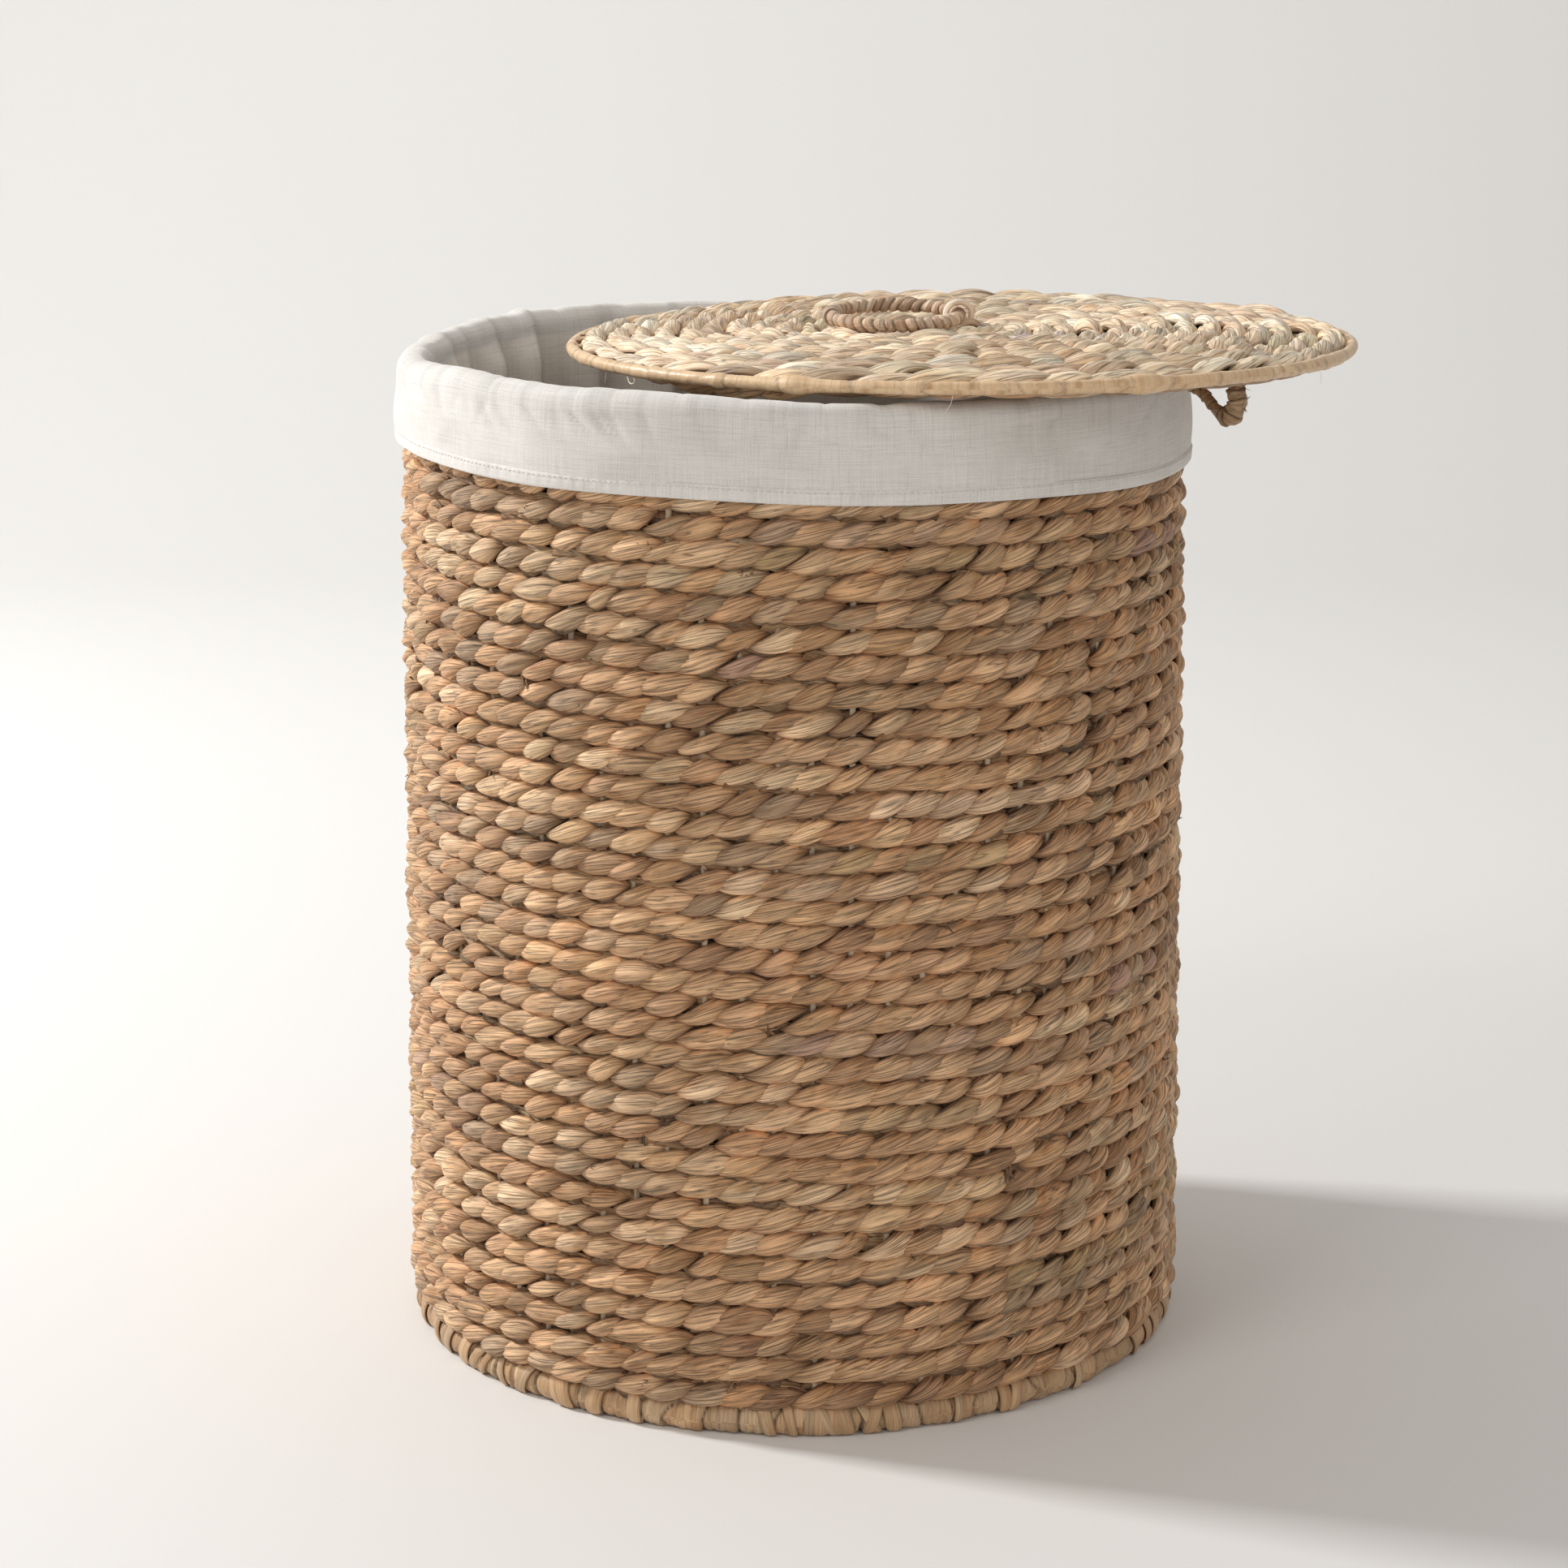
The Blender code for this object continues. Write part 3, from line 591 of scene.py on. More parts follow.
# ------------------------------------------------------------- wrapped tubes
def wrap_profile(rng, length, width, spread, steps, slant=0.6, step_h=0.00045, skips=0.0):
    """A strip wound round a tube: band edges along its length, with a random
    width and slant. Returns a function (distance, angle round the tube) ->
    (extra radius, band number, place across the band)."""
    edges = [0.0]
    while edges[-1] < length - width * 0.6:
        edges.append(edges[-1] + max(width * 0.35, rng.normal(width, spread)))
    edges = np.array(edges) * (length / edges[-1])
    n = len(edges) - 1
    lean = rng.normal(0, slant, n + 1) * width * 0.35
    lean[-1] = lean[0]
    phase = rng.uniform(0, TAU, n + 1)
    phase[-1] = phase[0]
    high = rng.normal(0, 1, n)

    def value(d, th):
        d = np.asarray(d)[..., None] + 0 * th
        i = np.clip(np.searchsorted(edges, d[..., 0], side="right") - 1, 0, n - 1)
        out_i = np.zeros(d.shape, int)
        frac = np.zeros(d.shape)
        for off in (-1, 0, 1):
            j = np.clip(i + off, 0, n - 1)
            a = edges[j][..., None] + lean[j][..., None] * np.cos(th - phase[j][..., None])
            c = edges[j + 1][..., None] + lean[j + 1][..., None] * np.cos(th - phase[j + 1][..., None])
            inside = (d >= a) & (d < c)
            out_i = np.where(inside, j[..., None], out_i)
            frac = np.where(inside, (d - a) / np.maximum(c - a, 1e-6), frac)
        extra = step_h * (0.25 + 0.75 * frac) * (1 + 0.35 * high[out_i])
        extra = extra - step_h * 1.1 * np.exp(-((frac) / 0.05) ** 2) - step_h * 0.5 * np.exp(-((1 - frac) / 0.03) ** 2)
        return extra, out_i, frac

    return value, n


def ring_tube(rng, soup, centre, radius, tube, width, spread, per, around, colours, slant=0.6,
              step_h=0.00045, flat_below=None, bulges=(), start=0.0, tall=1.0, ribs=0.0, seam_shade=0.45,
              bend=None):
    """A hoop wrapped with strips, as one closed ring."""
    length = TAU * radius
    steps = int(length / per)
    t = np.arange(steps) / steps
    value, bands = wrap_profile(rng, length, width, spread, steps, slant, step_h)
    th = np.arange(around) / around * TAU
    extra, band, frac = value(t * length, th)
    lump = smooth_noise(rng, 1, 60, 0.3)(t * TAU) * tube * 0.012
    r_tube = tube + extra - step_h * 0.6 + lump[:, None]
    if ribs:
        phase = rng.uniform(0, TAU, bands + 1)
        count = rng.uniform(1.2, 3.4, bands + 1)
        r_tube = r_tube + ribs * np.cos(frac * TAU * count[band] + phase[band] + 0.6 * np.sin(th)[None])
    for at, size, wide in bulges:
        away = np.abs((t * TAU + start - at + math.pi) % TAU - math.pi) * radius
        r_tube = r_tube + (size * np.exp(-((away / wide) ** 2)))[:, None]
    a = t * TAU + start
    rr = radius + r_tube * np.cos(th)
    zz = centre[2] + r_tube * tall * np.sin(th)
    if flat_below is not None:
        zz = np.maximum(zz, flat_below)
    pos = np.stack([centre[0] + rr * np.cos(a)[:, None], centre[1] + rr * np.sin(a)[:, None], zz], -1)
    if bend is not None:
        pos = bend(pos)
    col = colours[band % len(colours)]
    # painted shade: darker in the seam between two turns, where the groove between them lies in shadow
    seam = 1 - seam_shade * np.exp(-((frac / 0.05) ** 2)) - 0.3 * seam_shade * np.exp(-(((1 - frac) / 0.06) ** 2))
    fib = np.stack([th[None, :] * tube + 0 * rr, (t * length / 0.007)[:, None] + 0 * rr, band * 0.171], -1)
    soup.tubes(pos[None], (col * seam[..., None])[None], fib[None], wrap_along=True)


LEAVES = np.array([(0.640, 0.430, 0.245), (0.600, 0.385, 0.210), (0.680, 0.480, 0.290), (0.560, 0.345, 0.185),
                   (0.620, 0.400, 0.220), (0.580, 0.400, 0.240)])


def lid_bend(p):
    """The lid sags a little where it hangs over the open mouth."""
    t = np.clip((LID_C[0] - p[..., 0]) / 0.21, 0, 1)
    return np.stack([p[..., 0] - 0.0022 * t * t, p[..., 1], p[..., 2] - 0.0030 * t ** 1.3], -1)


def leaf_colours(rng, n, gain=1.0, spread=1.0):
    mean = LEAVES.mean(0)
    rgb = mean + (LEAVES[rng.integers(0, len(LEAVES), n)] - mean) * spread
    return rgb * rng.normal(1, 0.05 * spread, (n, 1)) * gain


def build_foot_ring():
    soup = Soup()
    tube = 0.0064
    tall = 1.18
    z = foot_lo[2] + tube * tall - 0.0002
    radius = foot_hi[0] - tube + 0.0002
    ring_tube(rng, soup, (0, 0, z), radius, tube, 0.0150, 0.0070, 0.0010, 24,
              leaf_colours(rng, 400, 0.95), slant=0.8, step_h=0.0013, flat_below=foot_lo[2], tall=tall,
              ribs=0.00028, seam_shade=0.72)
    # leaf tails folded over the ring between the uprights
    for _ in range(74):
        a0 = rng.uniform(0, TAU)
        wide = rng.uniform(0.0022, 0.0052)
        lean = rng.normal(0, 0.35)
        steps = 15
        th = np.linspace(1.75, -1.15, steps)
        r = tube + 0.0006 + 0.0005 * rng.random()
        taper = np.clip(1.1 - np.abs(np.linspace(-1, 1, steps)) ** 4, 0.12, 1)
        k = np.arange(10) / 10 * TAU
        side = wide * taper[:, None] * np.cos(k)[None]
        lift = 0.0007 * np.sin(k)[None]
        aa = a0 + (side + lean * (th[:, None] - 0.3) * tube) / radius
        rr = radius + (r + lift) * np.cos(th)[:, None]
        zz = np.maximum(z + (r + lift) * tall * np.sin(th)[:, None], foot_lo[2])
        pos = np.stack([rr * np.cos(aa), rr * np.sin(aa), zz], -1)
        fib = np.stack([th[:, None] * tube + 0 * rr, side / 0.007, np.full(rr.shape, rng.uniform(0, 9))], -1)
        # painted shade along the two edges of each tail, where it lies on the ring
        dark = 1 - 0.35 * np.abs(np.cos(k))[None, :, None] ** 8
        soup.tubes(pos[None], (leaf_colours(rng, 1, 0.95)[0] * dark * np.ones(rr.shape + (1,)))[None], fib[None])
    piece = soup.build("foot_ring_leaf", MAT_LEAF)
    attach(piece, "basket")
    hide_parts("foot_ring_wrap")


def build_lid_rim():
    soup = Soup()
    ring_tube(rng, soup, LID_C, LID_R, LID_WRAP_R - 0.0009, 0.0230, 0.0080, 0.0012, 18,
              leaf_colours(rng, 400, 1.12, 0.35), slant=0.35, step_h=0.00024, seam_shade=0.34, ribs=0.00005,
              bulges=((math.radians(-115.5), 0.0016, 0.008), (math.radians(-68), 0.0017, 0.011),
                      (math.radians(-128), 0.0006, 0.003), (math.radians(-140), 0.0006, 0.004),
                      (math.radians(-55), 0.0005, 0.004), (math.radians(-30), 0.0007, 0.005),
                      (math.radians(150), 0.0009, 0.008), (math.radians(40), 0.0010, 0.010),
                      (math.radians(95), 0.0009, 0.009)), bend=lid_bend)
    piece = soup.build("lid_rim_leaf", MAT_RIM)
    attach(piece, "lid")
    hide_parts("lid_rim_wrap")


# ------------------------------------------------------------------ lid weave
def disc_rows(outer, pitch):
    rows = []
    r = outer - pitch / 2
    while r > pitch * 0.9:
        rows.append(r)
        r -= pitch
    return rows


def spokes_at(r, base=44):
    if r < 0.046:
        return base // 4
    return base // 2 if r < 0.088 else base


def build_disc(name, centre, outer, pitch, z_of, up, mat, body, nodes, half, thick, rise,
               rough_n, detail=(12, 11, 3), gain=1.0, jitter=1.0, dive=0.0055, bend=None, edge_drop=0.0, core=None,
               rows=None, knot=True):
    """Concentric twined courses on a disc. up is +1 on top and -1 underneath."""
    soup = Soup()
    for row, r0 in enumerate(disc_rows(outer, pitch)):
        if rows is not None and row not in rows:
            continue
        count = spokes_at(r0)
        space = TAU * r0 / count
        phi = TAU * (np.arange(count) + 0.5) / count + rng.normal(0, 0.03, count) * space / r0
        length = space * 1.72
        s, b, n, fib, shade = grains(rng, count, length, half, thick, rise * min(1, space / 0.02), dive,
                                     sections=detail[0], front=detail[1], back=detail[2],
                                     shear=0.30, jitter=jitter, fold_amp=0.0007)
        wave = smooth_noise(rng, 1, 6, 0.7)(phi)[:, None, None] * 0.0006
        r = r0 - b * up + wave
        r = np.maximum(r, 0.002)
        if row == 0:
            r = np.minimum(r, outer + 0.0008)
        else:
            r = np.minimum(r, outer)
        a = phi[:, None, None] + s / r0
        lift = rng.normal(0, rough_n, count)[:, None, None]
        if up < 0 and edge_drop and row == 0:
            x = centre[0] + r * np.cos(a)
            over_gap = np.clip((0.012 - x) / 0.02, 0, 1) * np.clip((x + 0.082) / 0.03, 0, 1)
            n = n + edge_drop * over_gap * np.clip(1 - np.abs(n) / 0.008, 0, 1) - \
                0.0032 * np.clip((-0.055 - x) / 0.03, 0, 1)
        z = z_of(r) + up * (n + lift)
        if core is not None:
            z = np.maximum(z, core) if up > 0 else np.minimum(z, core)
        pos = np.stack([centre[0] + r * np.cos(a), centre[1] + r * np.sin(a), z], -1)
        if up > 0 and centre[0]:
            inner = np.clip((0.030 - np.hypot(pos[..., 0] - RING_C[0], pos[..., 1] - 0.002)) / 0.010, 0, 1)
            pos[..., 2] = np.maximum(pos[..., 2] - 0.0024 * inner, core if core is not None else -1)
        rgb = strand_colours(rng, count)
        for t in range(2, count):
            if rng.random() < 0.6:
                rgb[t] = rgb[t - 2] * 0.8 + rgb[t] * 0.2
        rgb *= rng.normal(1, 0.08, (count, 1))
        tint = rgb[:, None, None, :] * shade * gain
        # painted shadow: the strands inside the handle ring are darkened, as if in the shadow the ring casts
        if up > 0 and knot is not None:
            near = np.hypot(pos[..., 0] - RING_C[0], pos[..., 1] - 0.004) if centre[0] else np.full(s.shape, 1.0)
            tint = tint * (1 - np.array([0.30, 0.38, 0.45]) * np.clip((0.034 - near) / 0.010, 0, 1)[..., None])
        if up < 0:
            pos = pos[:, :, ::-1]
            tint = tint[:, :, ::-1]
            fib = fib[:, :, ::-1]
        if bend is not None:
            pos = bend(pos)
        soup.tubes(pos, tint, fib)
    # the knot in the middle
    if knot:
        disc_knot(soup, centre, pitch, z_of, up, gain)
    piece = soup.build(name, mat)
    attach(piece, body)
    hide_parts(*nodes)
    return piece


def disc_knot(soup, centre, pitch, z_of, up, gain):
    th = np.arange(14) / 14 * TAU
    m = np.linspace(0.02, 1, 7)
    rr = pitch * 1.15 * np.sin(m * math.pi / 2)
    zz = z_of(np.array(0.0)) - up * (0.006 * (1 - np.cos(m * math.pi / 2))) - up * 0.0012
    pos = np.stack([
        centre[0] + rr[:, None] * np.cos(th)[None],
        centre[1] + rr[:, None] * np.sin(th)[None] * up,
        np.broadcast_to(zz[:, None], (7, 14)) + 0.0003 * np.cos(5 * th)[None] * m[:, None],
    ], -1)[None]
    fib = np.stack([rr[:, None] + 0 * th[None], 0 * rr[:, None] + 2 * np.cos(th)[None], 0 * rr[:, None] + 0 * th[None] + 3], -1)[None]
    soup.tubes(pos, np.array([0.55, 0.36, 0.20]) * gain, fib)


def build_lid():
    outer = LID_R - LID_WRAP_R + 0.0006

    def top(r):
        r = np.asarray(r, float)
        fall = np.clip((r - 0.10) / (outer - 0.10), 0, 1)
        dish = 0.0022 * (1 - np.clip((r - 0.075) / 0.04, 0, 1) ** 2 * (3 - 2 * np.clip((r - 0.075) / 0.04, 0, 1)))
        return LID_C[2] + LID_TOP - 0.0040 * fall ** 1.6 - dish

    def under(r):
        return LID_C[2] - LID_UNDER + 0.0006 + 0 * np.asarray(r, float)

    for name, rows, knot in (("lid_courses_top_outer", range(0, 6), False),
                             ("lid_courses_top_inner", range(6, 30), True)):
        build_disc(name, LID_C, outer, 0.01265, top, 1, MAT_LID_PAINTED_SHEEN, "lid",
                   ("lid_weave_upper", "lid_wire_frame"), 0.0066, 0.0032, 0.0034, 0.0010,
                   detail=(15, 14, 2), gain=1.0, jitter=1.1, dive=0.0040, bend=lid_bend,
                   core=LID_C[2] - 0.0030, rows=rows, knot=knot)
    build_disc("lid_courses_under", LID_C, outer + 0.0020, 0.01265, under, -1, MAT_INNER, "lid",
               ("lid_weave_under",), 0.0066, 0.0026, 0.0032, 0.0003,
               detail=(9, 8, 2), gain=0.95, jitter=0.8, dive=0.0030, bend=lid_bend, edge_drop=0.0034,
               core=LID_C[2] + 0.0030)


def build_base():
    def top(r):
        return baseu_hi[2] + 0 * r

    def under(r):
        return base_lo[2] + 0.0002 + 0 * r

    build_disc("base_courses_top", (0, 0, 0), base_hi[0], 0.0133, top, 1, MAT_INNER, "basket",
               ("base_weave_upper", "base_wires"), 0.0069, 0.0026, 0.0032, 0.0002,
               detail=(8, 7, 1), jitter=0.7, core=base_lo[2] + 0.0050)
    build_disc("base_courses_under", (0, 0, 0), base_hi[0], 0.0133, under, -1, MAT_INNER, "basket",
               ("base_weave_lower",), 0.0069, 0.0026, 0.0032, 0.0000,
               detail=(9, 8, 2), jitter=0.6, core=baseu_hi[2] - 0.0050)


# ---------------------------------------------------------------------- cloth
def cloth_shell(name, grid, uv, tint, thick, mat, wrap=True, close_start=False):
    """grid (M, N, 3) of the cloth's middle, N round it. Gives it thickness as
    one closed body."""
    m, n, _ = grid.shape
    du = np.roll(grid, -1, 1) - np.roll(grid, 1, 1)
    dv = np.gradient(grid, axis=0)
    nor = np.cross(du, dv)
    nor /= np.maximum(np.linalg.norm(nor, axis=-1, keepdims=True), 1e-12)
    a = grid + nor * thick / 2
    b = grid - nor * thick / 2
    ring = np.concatenate([a, b[::-1]], 0)          # one closed section for each angle
    full_uv = np.concatenate([uv, uv[::-1]], 0)
    full_tint = np.concatenate([tint, tint[::-1]], 0)
    soup = Soup()
    soup.tubes(np.swapaxes(ring, 0, 1)[None], np.swapaxes(full_tint, 0, 1)[None],
               np.swapaxes(full_uv, 0, 1)[None], wrap_along=True)
    return soup.build(name, mat)


LINER_IN = bag_hi[0] - 0.0006      # middle of the cloth inside the basket
CUFF_OUT = cuff_hi[0] - 0.0007     # middle of the cloth outside it
HEM_Z = (hem_lo[2] + hem_hi[2]) / 2 - 0.0036
HEM_FALL = 0.028
CLOTH_T = 0.0011


def liner_path():
    """Section of the side panel and its fold: (radius, height) from the bag's
    foot up the inside, over the rim and down to the hem."""
    pts = []
    foot = (bottom_lo[2] + bottom_hi[2]) / 2 + 0.0004
    shoulder = rim_hi[2] - 0.0072
    for t in 1 - (1 - np.linspace(0, 1, 46)) ** 1.7:
        pts.append((LINER_IN + (0.0022) * (1 - t) ** 2, foot + (shoulder - foot) * t))
    mid = (LINER_IN + CUFF_OUT) / 2
    half = (CUFF_OUT - LINER_IN) / 2
    for t in np.linspace(0, math.pi, 20)[1:-1]:
        pts.append((mid - half * math.cos(t), shoulder + (cuff_hi[2] - 0.0006 - shoulder) * math.sin(t) ** 0.8))
    for t in np.linspace(0, 1, 26):
        pts.append((CUFF_OUT, shoulder + (HEM_Z + 0.0004 - shoulder) * t))
    return np.array(pts), shoulder


def build_liner():
    path, shoulder = liner_path()
    run = np.concatenate([[0], np.cumsum(np.linalg.norm(np.diff(path, axis=0), axis=1))])
    n = 540
    fine = np.linspace(0, TAU, 4001)
    dense = 1 + 2.2 * np.exp(-(((fine - 2.65) / 0.55) ** 4)) + 0.6 * np.exp(-(((fine - 4.2) / 0.5) ** 4))
    total = np.concatenate([[0], np.cumsum((dense[1:] + dense[:-1]) / 2)])
    phi = np.interp(np.arange(n) / n, total / total[-1], fine)
    r = np.repeat(path[:, 0][:, None], n, 1)
    z = np.repeat(path[:, 1][:, None], n, 1)
    over = np.argmax(path[:, 1])
    inside = (np.arange(len(path)) <= over)[:, None]
    wr = np.random.default_rng(5)

    def gap(at):
        return (phi[None] - at + math.pi) % TAU - math.pi

    # soft folds inside, starting just under the rim and easing out at the foot
    depth = np.clip((shoulder - z) / 0.46, 0, 1)
    grow = np.clip(depth * 26 + 0.40, 0, 1) * np.clip((1 - depth) * 6, 0, 1)
    fold = np.zeros_like(r)
    shadow = np.zeros_like(r)
    for _ in range(36):
        at = wr.uniform(0, TAU)
        width = wr.uniform(0.03, 0.10)
        size = wr.uniform(0.0010, 0.0045)
        drift = wr.normal(0, 0.25)
        top = wr.uniform(-0.05, 0.25)
        fold += size * np.exp(-((gap(at + drift * depth) / width) ** 2)) * np.clip((depth - top) * 5, 0, 1) * \
            np.clip((1 - depth) * 6, 0, 1)
    # pleats seen at the open side: a steep face one way, a long one the other
    for at, sharp, long, size, drift in ((2.455, 0.014, 0.085, 0.0100, 0.05), (2.640, 0.022, 0.080, 0.0105, -0.25),
                                         (2.930, 0.014, 0.080, 0.0095, -0.40), (2.800, 0.020, 0.045, 0.0055, 0.35),
                                         (2.20, 0.030, 0.080, 0.0050, 0.10), (3.140, 0.012, 0.050, 0.0050, 0.10),
                                         (1.95, 0.020, 0.090, 0.0060, 0.00), (3.420, 0.016, 0.070, 0.0060, -0.1)):
        a = gap(at + drift * depth)
        fold += size * np.where(a < 0, np.exp(-((a / (0.75 * sharp)) ** 2)), np.exp(-((a / long) ** 2))) * grow
        # painted shadow that runs along the steep face of each pleat
        shadow += size / 0.01 * np.where(a < 0, np.exp(-(((a + 0.4 * sharp) / (2.0 * sharp)) ** 2)), np.exp(-((a / 0.008) ** 2))) * grow
    fold = np.minimum(fold, 0.0125)
    r = r - fold * inside
    # the cuff hugs the courses, swells between them and is a little uneven
    outside = 1 - inside
    low = np.clip((shoulder - z) / (shoulder - HEM_Z), 0, 1)
    wob = smooth_noise(wr, 1, 14, 0.7)(phi)[None] * 0.00045 + smooth_noise(wr, 1, 40, 0.3)(phi)[None] * 0.00010
    puff = 0.0006 * np.sin(low * math.pi) * (1 + 0.4 * smooth_noise(wr, 1, 5, 0.5)(phi)[None])
    diag = 0.00050 * np.sin(7 * phi[None] + 3.2 * low + 1.0) * np.sin(low * math.pi) + \
        0.00040 * np.sin(13 * phi[None] - 5.0 * low) * np.sin(low * math.pi)
    for _ in range(26):
        at, wide, tilt = wr.uniform(-math.pi, math.pi), wr.uniform(0.03, 0.10), wr.normal(0, 0.35)
        mid, tall = wr.uniform(0.2, 0.8), wr.uniform(0.2, 0.5)
        diag = diag + wr.uniform(-0.0003, 0.0011) * np.exp(-((gap(at + tilt * low) / wide) ** 2)) * \
            np.exp(-(((low - mid) / tall) ** 2)) * np.sin(low * math.pi)
    r = r + outside * np.maximum(wob * (0.3 + 0.7 * low) + puff + diag, -0.0004)
    # drag lines that run down from the rim and fade in the cuff
    drag = np.zeros_like(r)
    marks = [(-2.06, 0.010, 0.0013, 0.20, 0.5), (-2.12, 0.007, 0.0010, 0.25, 0.38), (-2.01, 0.006, 0.0008, 0.15, 0.3),
             (-2.25, 0.012, 0.0010, 0.22, 0.45), (-2.38, 0.009, 0.0008, -0.1, 0.35), (-1.93, 0.012, 0.0008, 0.10, 0.5),
             (-2.60, 0.016, 0.0009, 0.15, 0.5), (-1.80, 0.010, 0.0007, 0.1, 0.35), (-2.85, 0.012, 0.0010, 0.2, 0.4),
             (-1.55, 0.016, 0.0006, -0.1, 0.6), (-1.30, 0.014, 0.0006, 0.12, 0.5)]
    for _ in range(48):
        marks.append((wr.uniform(-math.pi, math.pi), wr.uniform(0.006, 0.018), wr.uniform(0.0003, 0.0009),
                      wr.normal(0, 0.2), wr.uniform(0.25, 0.7)))
    for at, width, size, lean, reach in marks:
        drag += 1.5 * size * np.exp(-((gap(at + lean * low) / width) ** 2)) * np.clip(1 - low / reach, 0, 1) ** 1.3
    r = r - np.minimum(drag, 0.0014) * outside * np.clip(low * 14 + 0.15, 0, 1)
    # small pinches along the rim, where the cloth turns over the border
    near = np.exp(-(((run - run[over]) / 0.0125) ** 2))[:, None]
    pinch = np.zeros(n)
    for _ in range(70):
        pinch += wr.uniform(0.2, 1.0) * np.exp(-((gap(wr.uniform(0, TAU))[0] / wr.uniform(0.008, 0.030)) ** 2))
    z = z - near * 0.0009 * (pinch - pinch.mean())[None] * 0.8
    # free of the lid, the cloth stands up off the border
    free = np.clip((0.030 - 0.2105 * np.cos(phi)) / 0.075, 0, 1)
    free = (free * free * (3 - 2 * free))[None]
    stand = 0.0031 + 0.0005 * smooth_noise(wr, 1, 12, 0.5)(phi)[None] + 0.00015 * smooth_noise(wr, 1, 40, 0.4)(phi)[None]
    for at, wide, size in ((2.455, 0.020, 0.0016), (2.64, 0.05, 0.0010), (2.93, 0.02, 0.0009), (-2.75, 0.05, 0.0006)):
        stand = stand + size * np.exp(-((gap(at) / wide) ** 2))
    # and it stands highest at the front left, past the lid's edge
    stand = stand + 0.0055 * np.exp(-((gap(-2.53) / 0.30) ** 2)) + 0.0018 * np.exp(-((gap(-2.03) / 0.26) ** 2))
    back = np.clip(np.sin(phi) * 1.25 + 0.25, 0, 1)[None]
    stand = stand + 0.0055 * back * back * (3 - 2 * back)
    wide_near = np.exp(-(((run - run[over]) / 0.021) ** 2))[:, None]
    z = z + wide_near * free * stand
    # the hem hangs lower to the right
    z = z - outside * HEM_FALL * r * np.cos(phi)[None] * low
    z = z + outside * 0.0006 * smooth_noise(wr, 1, 9, 0.5)(phi)[None] * low
    grid = np.stack([r * np.cos(phi), r * np.sin(phi), z], -1)
    uv = np.stack([np.broadcast_to(phi * 0.2, r.shape), np.broadcast_to(run[:, None], r.shape),
                   np.zeros_like(r)], -1)
    # painted shade: the cloth is darkened a little along the drag lines
    crease = 1 - 0.10 * np.clip(drag / 0.001, 0, 1)[..., None]
    tint = np.ones(r.shape + (3,)) * crease
    # painted shadow on the steep face of each pleat, inside the bag
    tint = tint * (1 - np.array([0.32, 0.35, 0.38]) * np.clip(shadow, 0, 1)[..., None] * inside[..., None])
    # painted light: the cloth deep inside the bag is brightened and made a little warmer than the cuff, as if more
    # light fell into the bag
    tint = tint * np.where(inside[..., None] & (depth[..., None] > 0.004), np.array([1.17, 1.13, 1.09]), 1.0)
    piece = cloth_shell("liner_cloth", grid, uv, tint, CLOTH_T, MAT_CLOTH)
    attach(piece, "liner")
    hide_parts("liner_side_panel", "liner_cuff")

    # bottom panel
    m = np.linspace(0.004, 1, 40)
    rad = m * max(bottom_hi[0] - 0.0002, LINER_IN + 0.0030)
    soft = np.zeros((40, n))
    for _ in range(9):
        kx, ky = wr.normal(0, 26, 2)
        soft += 0.0004 * np.sin(kx * rad[:, None] * np.cos(phi) + ky * rad[:, None] * np.sin(phi) + wr.uniform(0, TAU))
    zb = (bottom_lo[2] + bottom_hi[2]) / 2 + np.clip(soft, -0.0004, 0.002) * np.clip((1 - m[:, None]) * 8, 0, 1)
    flat = np.stack([rad[:, None] * np.cos(phi), rad[:, None] * np.sin(phi), zb], -1)
    uv = np.stack([flat[..., 0], flat[..., 1], 0 * zb], -1)
    piece = cloth_shell("liner_bottom", flat[::-1], uv[::-1], np.ones(flat.shape), CLOTH_T, MAT_CLOTH)
    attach(piece, "liner")
    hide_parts("liner_bottom_panel")

    # hem: the edge turned up and stitched
    steps = 26
    t = np.linspace(0, TAU, steps + 1)[:-1]
    tall, thick = 0.0038, 0.0011
    prof_r = thick * np.sign(np.cos(t)) * np.abs(np.cos(t)) ** 0.6
    prof_z = tall * np.sign(np.sin(t)) * np.abs(np.sin(t)) ** 0.7
    n2 = 1200
    ph = np.arange(n2) / n2 * TAU
    base_r = CUFF_OUT + 0.0004 + np.interp(ph, phi, (r[-1] - CUFF_OUT), period=TAU)
    base_z = np.interp(ph, phi, z[-1], period=TAU) + tall - 0.0004
    pucker = 0.00009 * np.sin(ph * 190 + 0.9 * np.sin(ph * 23)) * (np.sin(t)[:, None] > -0.4)
    rr = base_r[None] + prof_r[:, None] + pucker
    zz = base_z[None] + prof_z[:, None]
    pos = np.stack([rr * np.cos(ph), rr * np.sin(ph), zz], -1)
    fib = np.stack([np.broadcast_to(ph * 0.2, rr.shape), zz, np.zeros_like(rr)], -1)
    soup = Soup()
    soup.tubes(np.swapaxes(pos, 0, 1)[None], np.ones(3) * 1.03, np.swapaxes(fib, 0, 1)[None], wrap_along=True)
